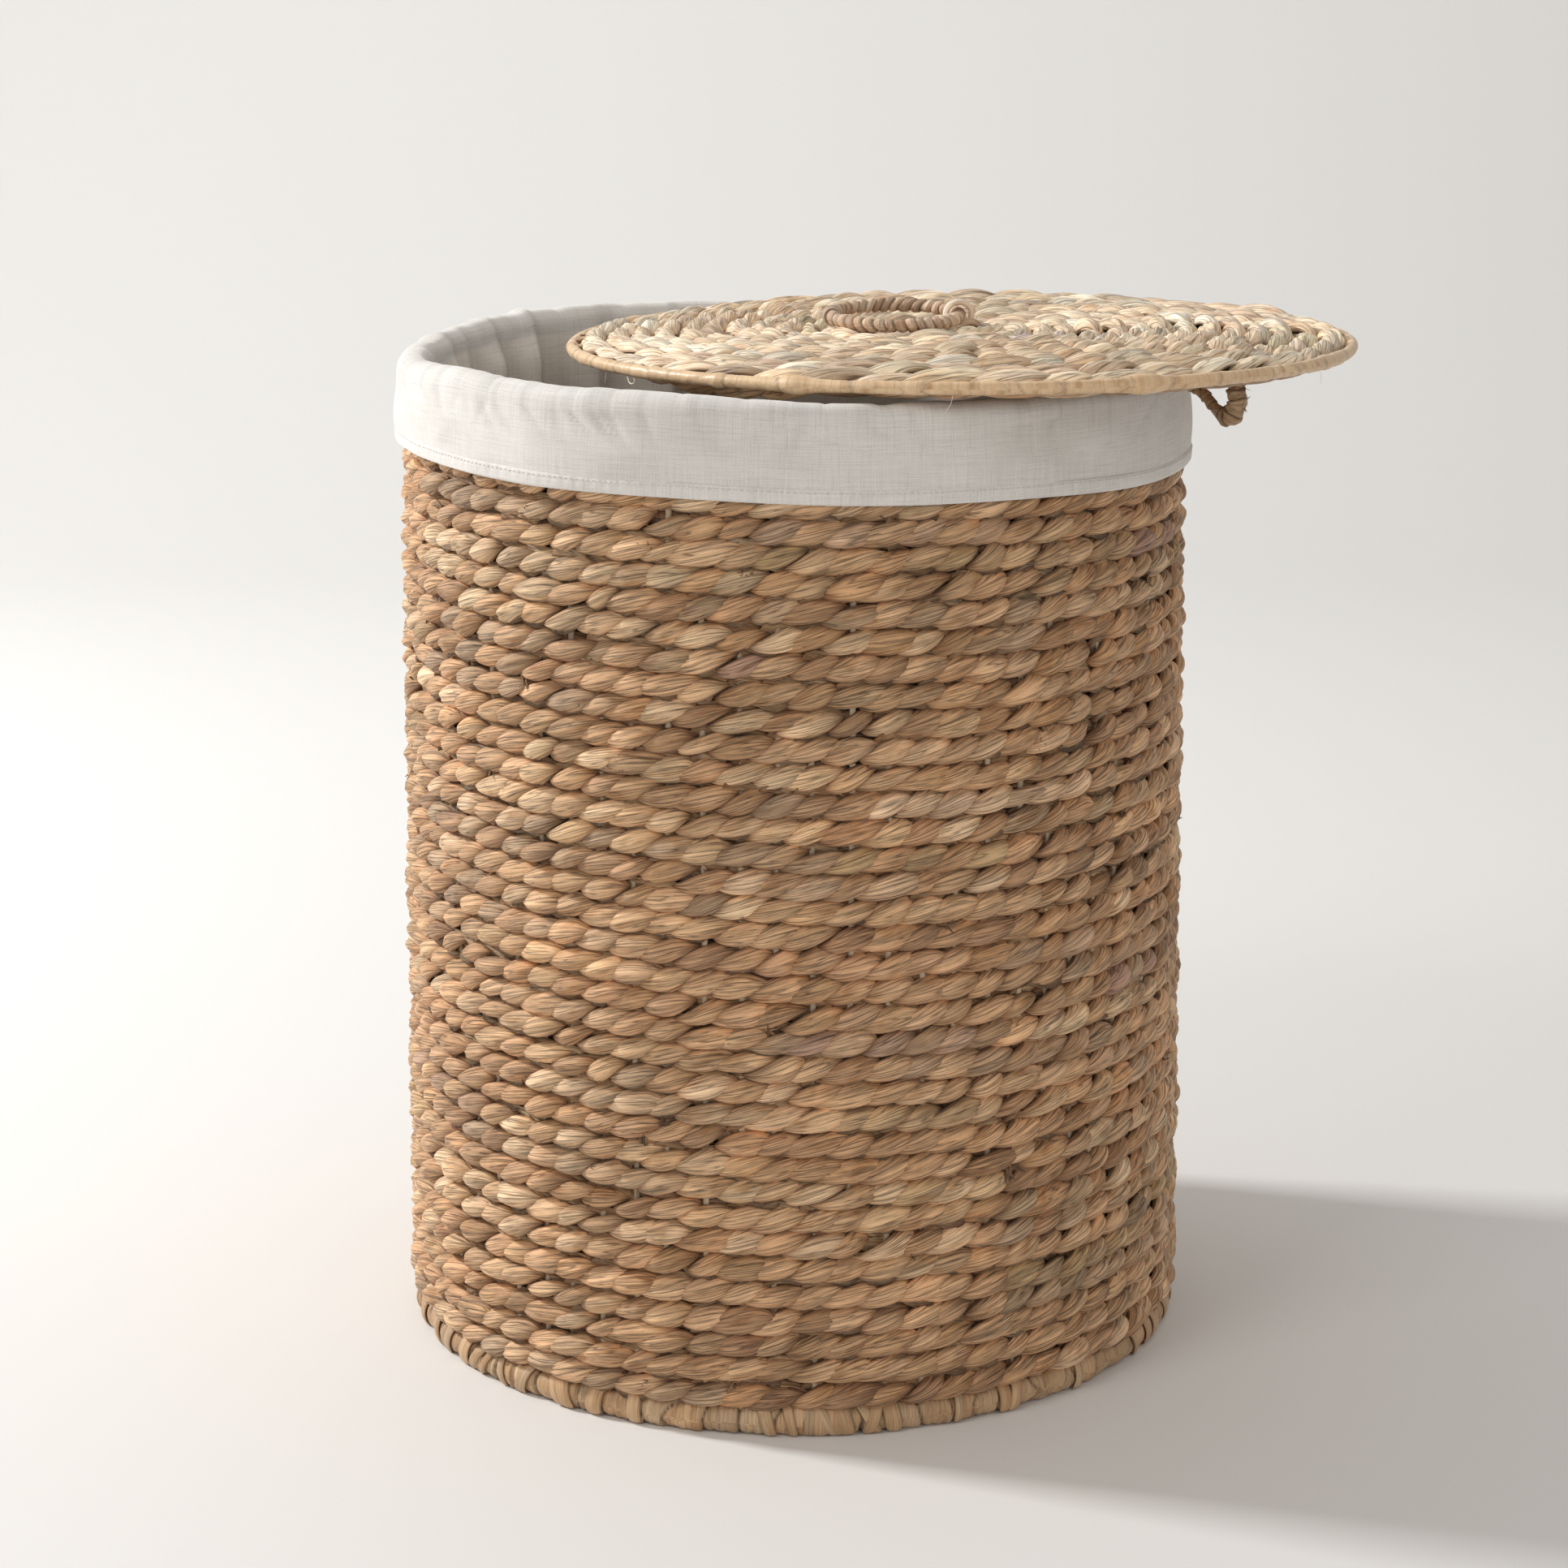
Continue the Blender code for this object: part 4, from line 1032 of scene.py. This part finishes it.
    # stitches near its upper edge
    count = 420
    at = np.arange(count) / count * TAU
    dash = 0.0022
    uu = np.linspace(-1, 1, 5)
    ring6 = np.arange(6) / 6 * TAU
    thin = 0.00024 * np.sqrt(np.maximum(1 - np.abs(uu) ** 3, 0.08))
    rr0 = np.interp(at, ph, base_r, period=TAU) + thick + 0.00008
    zz0 = np.interp(at, ph, base_z, period=TAU) + tall * 0.60
    aa = at[:, None, None] + (uu[None, :, None] * dash / 2) / 0.2115
    rad3 = rr0[:, None, None] + thin[None, :, None] * np.cos(ring6)[None, None] - 0.00012 * (uu**2)[None, :, None]
    zz3 = zz0[:, None, None] + thin[None, :, None] * np.sin(ring6)[None, None] + 0 * aa
    pos = np.stack([rad3 * np.cos(aa), rad3 * np.sin(aa), zz3], -1)
    soup.tubes(pos, np.ones(3) * 0.90, np.zeros(3))
    piece = soup.build("liner_hem_band", MAT_CLOTH)
    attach(piece, "liner")
    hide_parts("liner_hem")


# ----------------------------------------------------------------------- lugs
LUG_IN, LUG_OUT, LUG_DROP = 0.1500, 0.1862, 0.0244


def smooth_path(points, count):
    """Catmull-Rom through the points, evenly sampled."""
    p = np.array(points, float)
    p = np.concatenate([[2 * p[0] - p[1]], p, [2 * p[-1] - p[-2]]])
    out = []
    for i in range(1, len(p) - 2):
        for t in np.linspace(0, 1, 40, endpoint=False):
            a, b, c, d = p[i - 1], p[i], p[i + 1], p[i + 2]
            out.append(0.5 * (2 * b + (c - a) * t + (2 * a - 5 * b + 4 * c - d) * t**2 + (3 * b - a - 3 * c + d) * t**3))
    out.append(p[-2])
    out = np.array(out)
    run = np.concatenate([[0], np.cumsum(np.linalg.norm(np.diff(out, axis=0), axis=1))])
    at = np.linspace(0, run[-1], count)
    return np.stack([np.interp(at, run, out[:, k]) for k in range(out.shape[1])], -1), run[-1]


def frames(path):
    d = np.gradient(path, axis=0)
    d /= np.linalg.norm(d, axis=1, keepdims=True)
    ref = np.array([0.0, 0.0, 1.0]) if abs(d[0][2]) < 0.9 else np.array([1.0, 0.0, 0.0])
    u = np.cross(d[0], ref)
    u /= np.linalg.norm(u)
    us = [u]
    for k in range(1, len(path)):
        v = us[-1] - d[k] * np.dot(us[-1], d[k])
        us.append(v / np.linalg.norm(v))
    us = np.array(us)
    return d, us, np.cross(d, us)


def sweep(path, radius, around=12, flat=1.0, twist=0.0):
    """radius (M,) or (M, K). flat squeezes the section along its second axis."""
    d, u, v = frames(path)
    th = np.arange(around) / around * TAU
    radius = np.asarray(radius)
    if radius.ndim == 1:
        radius = radius[:, None] + 0 * th[None]
    tw = np.linspace(0, twist, len(path))[:, None]
    c, s = np.cos(th[None] + tw), np.sin(th[None] + tw)
    return path[:, None] + radius[..., None] * (c[..., None] * u[:, None] + flat * s[..., None] * v[:, None])


def build_lugs():
    top = LID_C[2] - LID_UNDER + 0.002
    low = LID_C[2] - LUG_DROP
    out_r = LUG_OUT - 0.0020
    pts = [(LUG_IN + 0.0005, 0, top), (LUG_IN + 0.0030, 0, top - 0.0050), (LUG_IN + 0.0130, 0, low + 0.0105),
           (out_r - 0.0110, 0, low + 0.0022), (out_r - 0.0040, 0, low + 0.0004), (out_r + 0.0002, 0, low + 0.0050),
           (out_r + 0.0006, 0, low + 0.0110), (out_r, 0, top + 0.0005)]
    for number, angle in enumerate((45, 135, 225, 315), 1):
        soup = Soup()
        count = 150
        path, run = smooth_path(pts, count)
        value, bands = wrap_profile(rng, run, 0.0048, 0.0018, count, 0.9, 0.0009)
        d = np.linspace(0, run, count)
        th = np.arange(18) / 18 * TAU
        extra, band, frac = value(d, th)
        share = d / run
        base = 0.0023 + 0.0017 * np.clip((share - 0.48) / 0.14, 0, 1) - 0.0003 * np.clip((share - 0.85) / 0.1, 0, 1)
        base = base + 0.0007 * np.exp(-(((share - 0.66) / 0.07) ** 2))
        lumps = 0.0004 * np.sin(3 * th[None] + 40 * share[:, None]) + 0.0003 * np.sin(5 * th[None] - 70 * share[:, None])
        pos = sweep(path, base[:, None] + extra + lumps * np.clip((share[:, None] - 0.4) * 4, 0.2, 1), 18)
        a = math.radians(angle)
        rot = np.array([[math.cos(a), -math.sin(a), 0], [math.sin(a), math.cos(a), 0], [0, 0, 1]])
        shift = np.array([LID_C[0], 0, 0])
        pos = pos @ rot.T + shift
        col = leaf_colours(rng, bands + 1, 0.62)[band] * np.array([1.0, 0.93, 0.86])
        # painted shade: darker in the seam between two turns, where the groove lies in shadow
        seam = 1 - 0.6 * np.exp(-((frac / 0.10) ** 2))
        fib = np.stack([th[None] * 0.004 + 0 * frac, (d[:, None] + 0 * frac) / 0.007, band * 0.23], -1)
        soup.tubes(pos[None], (col * seam[..., None])[None], fib[None])
        # the leaf that ties the leg to the rim, a web along the ring
        m = np.linspace(-1, 1, 21)
        k = np.arange(16) / 16 * TAU
        ring_under = LID_C[2] - LID_WRAP_R * 0.4
        depth = 0.0062 * (1 - np.abs(m) ** 1.15) + 0.0012
        thick = 0.0024 * (1 - 0.7 * m**2) + 0.0004
        aa = m[:, None] * 0.019 / out_r
        rr = out_r + 0.0030 + thick[:, None] * np.cos(k)[None] + 0.0002 * np.cos(4 * k + 3 * m[:, None])
        zz = ring_under - depth[:, None] * (0.5 - 0.5 * np.sin(k)[None])
        web = np.stack([rr * np.cos(aa), rr * np.sin(aa), zz], -1) @ rot.T + shift
        fib = np.stack([0.019 * m[:, None] + 0 * rr, np.sin(k)[None] + 0 * rr, 0 * rr + 0.7 * number], -1)
        soup.tubes(web[None], leaf_colours(rng, 1, 0.8)[0], fib[None])
        # frayed leaf ends beside the leg
        for _ in range(13):
            h = rng.uniform(0.1, 0.9)
            side = rng.normal(0, 0.9)
            start = np.array([out_r + 0.0042 * math.cos(side), 0.0042 * math.sin(side), low + 0.002 + h * 0.016])
            out = np.array([math.cos(side), math.sin(side), 0]) * rng.uniform(0.0012, 0.0042) + \
                np.array([0, 0, rng.normal(0.0004, 0.0015)])
            p = np.stack([start - out * 0.8, start, start + out * 0.6, start + out + [0, 0, rng.normal(0, 0.0008)]])
            pp, _ = smooth_path(p, 9)
            rad = np.linspace(0.0010, 0.00012, 9)
            tube = sweep(pp, rad, 6, flat=0.35) @ rot.T + shift
            soup.tubes(tube[None], np.array([0.42, 0.27, 0.16]) * rng.uniform(0.7, 1.1), np.zeros(3))
        piece = soup.build(f"lug_leaf_{number}", MAT_LEAF)
        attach(piece, "lid")
        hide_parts(f"lid_lug_wrap_{number}", f"lid_lug_wire_{number}")


# --------------------------------------------------------------------- handle
def build_handle():
    tilt = 0.062
    c, s = math.cos(tilt), math.sin(tilt)

    def lean(p):
        """The loose ring rests with its far side propped on the weave."""
        q = p - RING_C
        return np.stack([q[..., 0], c * q[..., 1] - s * q[..., 2], s * q[..., 1] + c * q[..., 2]], -1) + \
            RING_C + np.array([0, 0, -0.0008])

    soup = Soup()
    turns = 38
    per = 11
    steps = turns * per
    around = 18
    tube = RING_TUBE + 0.0007
    t = np.arange(steps) / steps
    th = np.arange(around) / around * TAU
    wide = rng.normal(1, 0.10, turns)
    edges = np.concatenate([[0], np.cumsum(wide)]) / wide.sum()
    slant = 0.22 + 0.12 * smooth_noise(rng, 1, 5, 0.5)(t * TAU)
    at = (t[:, None] + slant[:, None] / turns * np.sin(th + 0.6)[None]) % 1.0
    band = np.clip(np.searchsorted(edges, at, side="right") - 1, 0, turns - 1)
    frac = (at - edges[band]) / (edges[band + 1] - edges[band])
    high = rng.normal(0, 0.00022, turns)
    bead = np.clip(1 - np.abs(2 * frac - 1) ** 2.4, 0, 1) ** 0.55
    lump = 0.00012 * np.cos(3 * th[None] + band * 1.7) + 0.00010 * np.cos(6 * frac * math.pi + band)
    r_tube = tube - 0.0017 + 0.0018 * bead + high[band] + lump
    a = t * TAU
    rr = RING_R + r_tube * np.cos(th)
    pos = np.stack([RING_C[0] + rr * np.cos(a)[:, None], RING_C[1] + rr * np.sin(a)[:, None],
                    RING_C[2] + r_tube * np.sin(th)], -1)
    col = np.array([(0.72, 0.55, 0.40), (0.66, 0.49, 0.35), (0.80, 0.64, 0.48), (0.60, 0.43, 0.31)])[
        rng.integers(0, 4, turns)] * rng.normal(1, 0.05, (turns, 1))
    # painted shade in the grooves between the beads of the winding
    dark = (1 - bead[..., None]) ** 1.2
    tint = col[band] * (1 - dark * np.array([0.55, 0.62, 0.68]))
    fib = np.stack([th[None] * 0.003 + 0 * frac, frac * 0.7, band * 0.31], -1)
    soup.tubes(lean(pos)[None], tint[None], fib[None], wrap_along=True)
    # leaf binding and knot at the far side from the hinge
    for k in range(4):
        ang = (k - 1.5) * 0.085 + math.pi
        c0 = RING_C + np.array([RING_R * math.cos(ang), RING_R * math.sin(ang), 0])
        radial = np.array([math.cos(ang), math.sin(ang), 0])
        tang = np.array([-math.sin(ang), math.cos(ang), 0])
        tt = np.linspace(0, TAU, 33)[:-1]
        rad = tube + 0.00055
        loop = c0 + rad * (np.cos(tt)[:, None] * radial + np.sin(tt)[:, None] * np.array([0, 0, 1.0])) + \
            (0.0008 * np.sin(tt + k))[:, None] * tang
        nrm = (loop - c0) / np.linalg.norm(loop - c0, axis=1, keepdims=True)
        k6 = np.arange(8) / 8 * TAU
        ringp = loop[:, None] + 0.0007 * (np.cos(k6)[None, :, None] * nrm[:, None]) + \
            0.0015 * (np.sin(k6)[None, :, None] * tang[None, None])
        soup.tubes(lean(ringp)[None], np.array([0.62, 0.48, 0.36]) * rng.normal(1, 0.08), np.zeros(3), wrap_along=True)
    centre = RING_C + np.array([-RING_R, 0, 0])
    for _ in range(6):
        start = centre + np.array([rng.uniform(-0.003, 0.002), rng.normal(0, 0.003), tube * 0.8])
        out = np.array([rng.uniform(-0.0035, -0.0005), rng.uniform(-0.004, 0.004), rng.uniform(0.0003, 0.002)])
        p = np.stack([start - out * 0.5, start, start + out * 0.6, start + out * 1.1])
        pp, _ = smooth_path(p, 11)
        soup.tubes(lean(sweep(pp, np.linspace(0.0009, 0.0003, 11), 6, flat=0.4))[None],
                   np.array([0.62, 0.47, 0.32]), np.zeros(3))
    piece = soup.build("handle_winding", MAT_CORD)
    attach(piece, "handle")
    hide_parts("handle_ring_wrap", "handle_ring_core", "handle_knot")

    # the strap that ties the ring down at the lid's centre
    soup = Soup()
    hinge = np.array([RING_C[0] + RING_R, 0, RING_C[2] + 0.0002])
    deck = LID_C[2] + LID_TOP - 0.002
    reach = tube + 0.0031
    arch = []
    for t in np.linspace(-0.10, 1.10, 24):
        ang = math.pi * (1 - t)
        arch.append(hinge + np.array([reach * 1.04 * math.cos(ang), -0.0030 + 0.0050 * (t - 0.5), reach * math.sin(ang)]))
    arch = [np.array([arch[0][0] + 0.0002, arch[0][1], deck - 0.004])] + arch + \
        [np.array([arch[-1][0] + 0.0016, arch[-1][1], deck - 0.004])]
    for off, wide, gain in ((0.0, 0.0027, 1.0), (0.0034, 0.0021, 0.92), (-0.0033, 0.0021, 1.06)):
        p = np.array(arch) + np.array([0, off, -abs(off) * 0.1])
        pp, _ = smooth_path(p[::2], 60)
        d, u, v = frames(pp)
        th = np.arange(12) / 12 * TAU
        side = np.array([0, 1.0, 0])
        nrm = np.cross(d, side)
        nrm /= np.linalg.norm(nrm, axis=1, keepdims=True)
        ringp = pp[:, None] + wide * np.cos(th)[None, :, None] * side[None, None] + \
            0.0014 * np.sin(th)[None, :, None] * nrm[:, None]
        fib = np.stack([np.linspace(0, 0.02, 60)[:, None] + 0 * th[None], np.cos(th)[None] * 0.4 + 0 * pp[:, :1],
                        np.full((60, 12), 5.0 + off * 1e3)], -1)
        soup.tubes(ringp[None], np.array([0.92, 0.78, 0.63]) * gain, fib[None])
    piece = soup.build("handle_strap", MAT_CORD)
    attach(piece, "lid")
    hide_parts("handle_loop")


def build_rim_border():
    """The last course under the cloth: a plain rolled strand over the hoop."""
    soup = Soup()
    count = 90
    phi = TAU * np.arange(count) / count
    s, b, n, fib, shade = grains(rng, count, 0.026, 0.0056, 0.0030, 0.0010, 0.003, sections=8, front=8, back=2,
                                 jitter=0.4, rope=0.0066)
    r = np.clip((WALL_R1 - WALL_T / 2) - b, WALL_R1 - WALL_T + 0.0004, WALL_R1 - 0.0012)
    z = rim_hi[2] - 0.0008 + n
    a = phi[:, None, None] + s / 0.2
    pos = np.stack([r * np.cos(a), r * np.sin(a), z], -1)
    tint = strand_colours(rng, count)[:, None, None, :] * shade
    soup.tubes(pos, tint, fib)
    piece = soup.build("rim_border_course", MAT_INNER)
    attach(piece, "basket")
    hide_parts("rim_border")


def blade(soup, start, out, normal, width, colour, curl=0.3, count=10):
    """One torn fibre end: a thin flat strip that tapers and curls."""
    out = np.asarray(out, float)
    normal = np.asarray(normal, float)
    size = np.linalg.norm(out)
    p = np.stack([start - out * 0.5 - normal * 0.0015, start, start + out * 0.5 + normal * curl * size * 0.3,
                  start + out + normal * curl * size])
    pp, _ = smooth_path(p, count)
    d = np.gradient(pp, axis=0)
    d /= np.linalg.norm(d, axis=1, keepdims=True)
    side = np.cross(d, normal)
    side /= np.maximum(np.linalg.norm(side, axis=1, keepdims=True), 1e-9)
    up = np.cross(side, d)
    k = np.arange(6) / 6 * TAU
    w = width * np.clip(1.05 - (np.arange(count) / (count - 1)) ** 2, 0.08, 1)
    pos = pp[:, None] + w[:, None, None] * np.cos(k)[None, :, None] * side[:, None] + \
        (0.00028 * np.sin(k))[None, :, None] * up[:, None]
    fib = np.stack([np.linspace(0, size, count)[:, None] + 0 * k[None], 0.5 * np.cos(k)[None] + np.zeros((count, 1)),
                    np.full((count, 6), float(rng.uniform(0, 9)))], -1)
    soup.tubes(pos[None], colour, fib[None])


def build_loose_ends():
    """Joins in the weave: where a strand ends, its torn tip stands out."""
    soup = Soup()
    spots = [(-2.74, 0.391), (-1.99, 0.345), (-1.955, 0.352), (-0.93, 0.352), (-2.08, 0.128), (-0.62, 0.300),
             (-2.30, 0.173), (-1.20, 0.262), (-2.42, 0.272), (-1.02, 0.130), (-1.72, 0.030), (-1.93, 0.020),
             (-0.50, 0.420), (-2.62, 0.455), (-1.35, 0.465), (-1.63, 0.212)]
    while len(spots) < 64:
        spots.append((rng.uniform(-math.pi, math.pi), rng.uniform(0.03, 0.465)))
    for phi, z in spots:
        nrm = np.array([math.cos(phi), math.sin(phi), 0])
        tan = np.array([-math.sin(phi), math.cos(phi), 0])
        at = nrm * (float(wall_radius(z)) - 0.0036) + np.array([0, 0, z])
        base = np.array([0.42, 0.25, 0.13]) * rng.uniform(0.6, 1.25)
        lead = rng.uniform(0, TAU)
        for _ in range(int(rng.integers(4, 10))):
            ang = lead + rng.normal(0, 0.75)
            out = (tan * math.cos(ang) + np.array([0, 0, 1.0]) * math.sin(ang)) * rng.uniform(0.0025, 0.0070)
            blade(soup, at + tan * rng.normal(0, 0.0012) + np.array([0, 0, rng.normal(0, 0.0012)]), out, nrm,
                  rng.uniform(0.0005, 0.0014), base * rng.uniform(0.75, 1.3), curl=rng.uniform(0.1, 0.75))
    piece = soup.build("wall_loose_ends", MAT_WALL)
    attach(piece, "basket")

    # fine hairs and a curl of pale fibre at the lid's rim
    soup = Soup()
    for angle, points in (
        (-145.0, [(0.0, -0.003), (0.0015, -0.0055), (0.0042, -0.0060), (0.0062, -0.0048), (0.0058, -0.0030)]),
        (-94.0, [(0.0, -0.003), (-0.0010, -0.0070), (-0.0034, -0.0110), (-0.0060, -0.0150)]),
        (-101.0, [(0.0, 0.002), (0.0030, -0.0005), (0.0055, -0.0020)]),
        (-34.0, [(0.0, -0.003), (0.0010, -0.0060), (0.0006, -0.0095)]),
        (-151.0, [(0.0, -0.003), (-0.0004, -0.0065), (-0.0012, -0.0082)]),
    ):
        a = math.radians(angle)
        rad = LID_R + LID_WRAP_R * 0.75
        c0 = np.array([LID_C[0] + rad * math.cos(a), rad * math.sin(a), LID_C[2]])
        p = np.array([c0 + np.array([-math.sin(a), math.cos(a), 0]) * x +
                      np.array([math.cos(a), math.sin(a), 0]) * 0.0012 + np.array([0, 0, z]) for x, z in points])
        pp, _ = smooth_path(p, 30)
        width = 0.00042 if angle == -145.0 else 0.00016
        pos = lid_bend(sweep(pp, np.linspace(width, width * 0.5, 30), 6))
        soup.tubes(pos[None], np.array([0.86, 0.80, 0.70]), np.zeros(3))
    piece = soup.build("lid_hairs", MAT_HAIR)
    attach(piece, "lid")


build_wall()
build_inner_wall()
build_stakes()
build_foot_ring()
build_rim_border()
build_base()
build_liner()
build_lid()
build_lid_rim()
build_lugs()
build_handle()
build_loose_ends()


# ---------------------------------------------------------------------- stage
def stage():
    mat, tree, shader = new_material("backdrop")
    shader.inputs["Base Color"].default_value = (0.80, 0.795, 0.785, 1)
    shader.inputs["Roughness"].default_value = 0.9
    verts, faces = [], []
    width = 8.0
    pts = [(-4.0, 0.0)]
    for t in np.linspace(0, math.pi / 2, 16):
        pts.append((2.2 + 1.2 * math.sin(t), 1.2 - 1.2 * math.cos(t)))
    pts.append((3.4, 5.0))
    for y, z in pts:
        verts += [(-width, y, z), (width, y, z)]
    for i in range(len(pts) - 1):
        faces.append((2 * i, 2 * i + 1, 2 * i + 3, 2 * i + 2))
    mesh = bpy.data.meshes.new("floor")
    mesh.from_pydata(verts, [], faces)
    mesh.shade_smooth()
    mesh.materials.append(mat)
    floor = bpy.data.objects.new("floor", mesh)
    bpy.context.scene.collection.objects.link(floor)


def area(name, loc, target, size, power, colour=(1, 1, 1)):
    light = bpy.data.lights.new(name, "AREA")
    light.shape = "RECTANGLE"
    light.size, light.size_y = size
    light.energy = power
    light.color = colour
    obj = bpy.data.objects.new(name, light)
    bpy.context.scene.collection.objects.link(obj)
    obj.location = loc
    d = np.array(target, float) - np.array(loc, float)
    from mathutils import Vector
    obj.rotation_euler = Vector(d).to_track_quat("-Z", "Y").to_euler()
    return obj


stage()
area("key", (-2.75, 0.80, 2.05), (0, 0, 0.35), (0.40, 0.40), 95, (1.0, 0.997, 0.985))
area("fill", (1.3, -3.1, 1.5), (0.1, 0, 0.3), (2.2, 1.8), 12, (1.0, 0.965, 0.92))
area("top", (-1.3, -1.5, 2.3), (-0.05, 0.05, 0.5), (0.9, 0.9), 12, (1.0, 0.97, 0.93))
area("wall", (0.3, 0.9, 2.9), (0.4, 3.4, 0.9), (3.5, 1.0), 20, (0.985, 1.0, 1.02))

world = bpy.data.worlds.new("studio")
bpy.context.scene.world = world
world.use_nodes = True
bg = world.node_tree.nodes["Background"]
bg.inputs["Color"].default_value = (1.0, 0.955, 0.905, 1)
bg.inputs["Strength"].default_value = 0.415

cam = bpy.data.cameras.new("camera")
cam.sensor_width = 36
cam.lens = 36 * 4396 / 1932
cam.shift_y = -0.15
cam.clip_start = 0.05
cam.clip_end = 30
eye = bpy.data.objects.new("camera", cam)
bpy.context.scene.collection.objects.link(eye)
eye.location = (-0.0051, -1.8962, 0.745)
eye.rotation_euler = (math.pi / 2 - 0.1715, 0.0, 0.0)
bpy.context.scene.camera = eye
bpy.context.scene.view_settings.view_transform = "Standard"
bpy.context.scene.view_settings.look = "None"
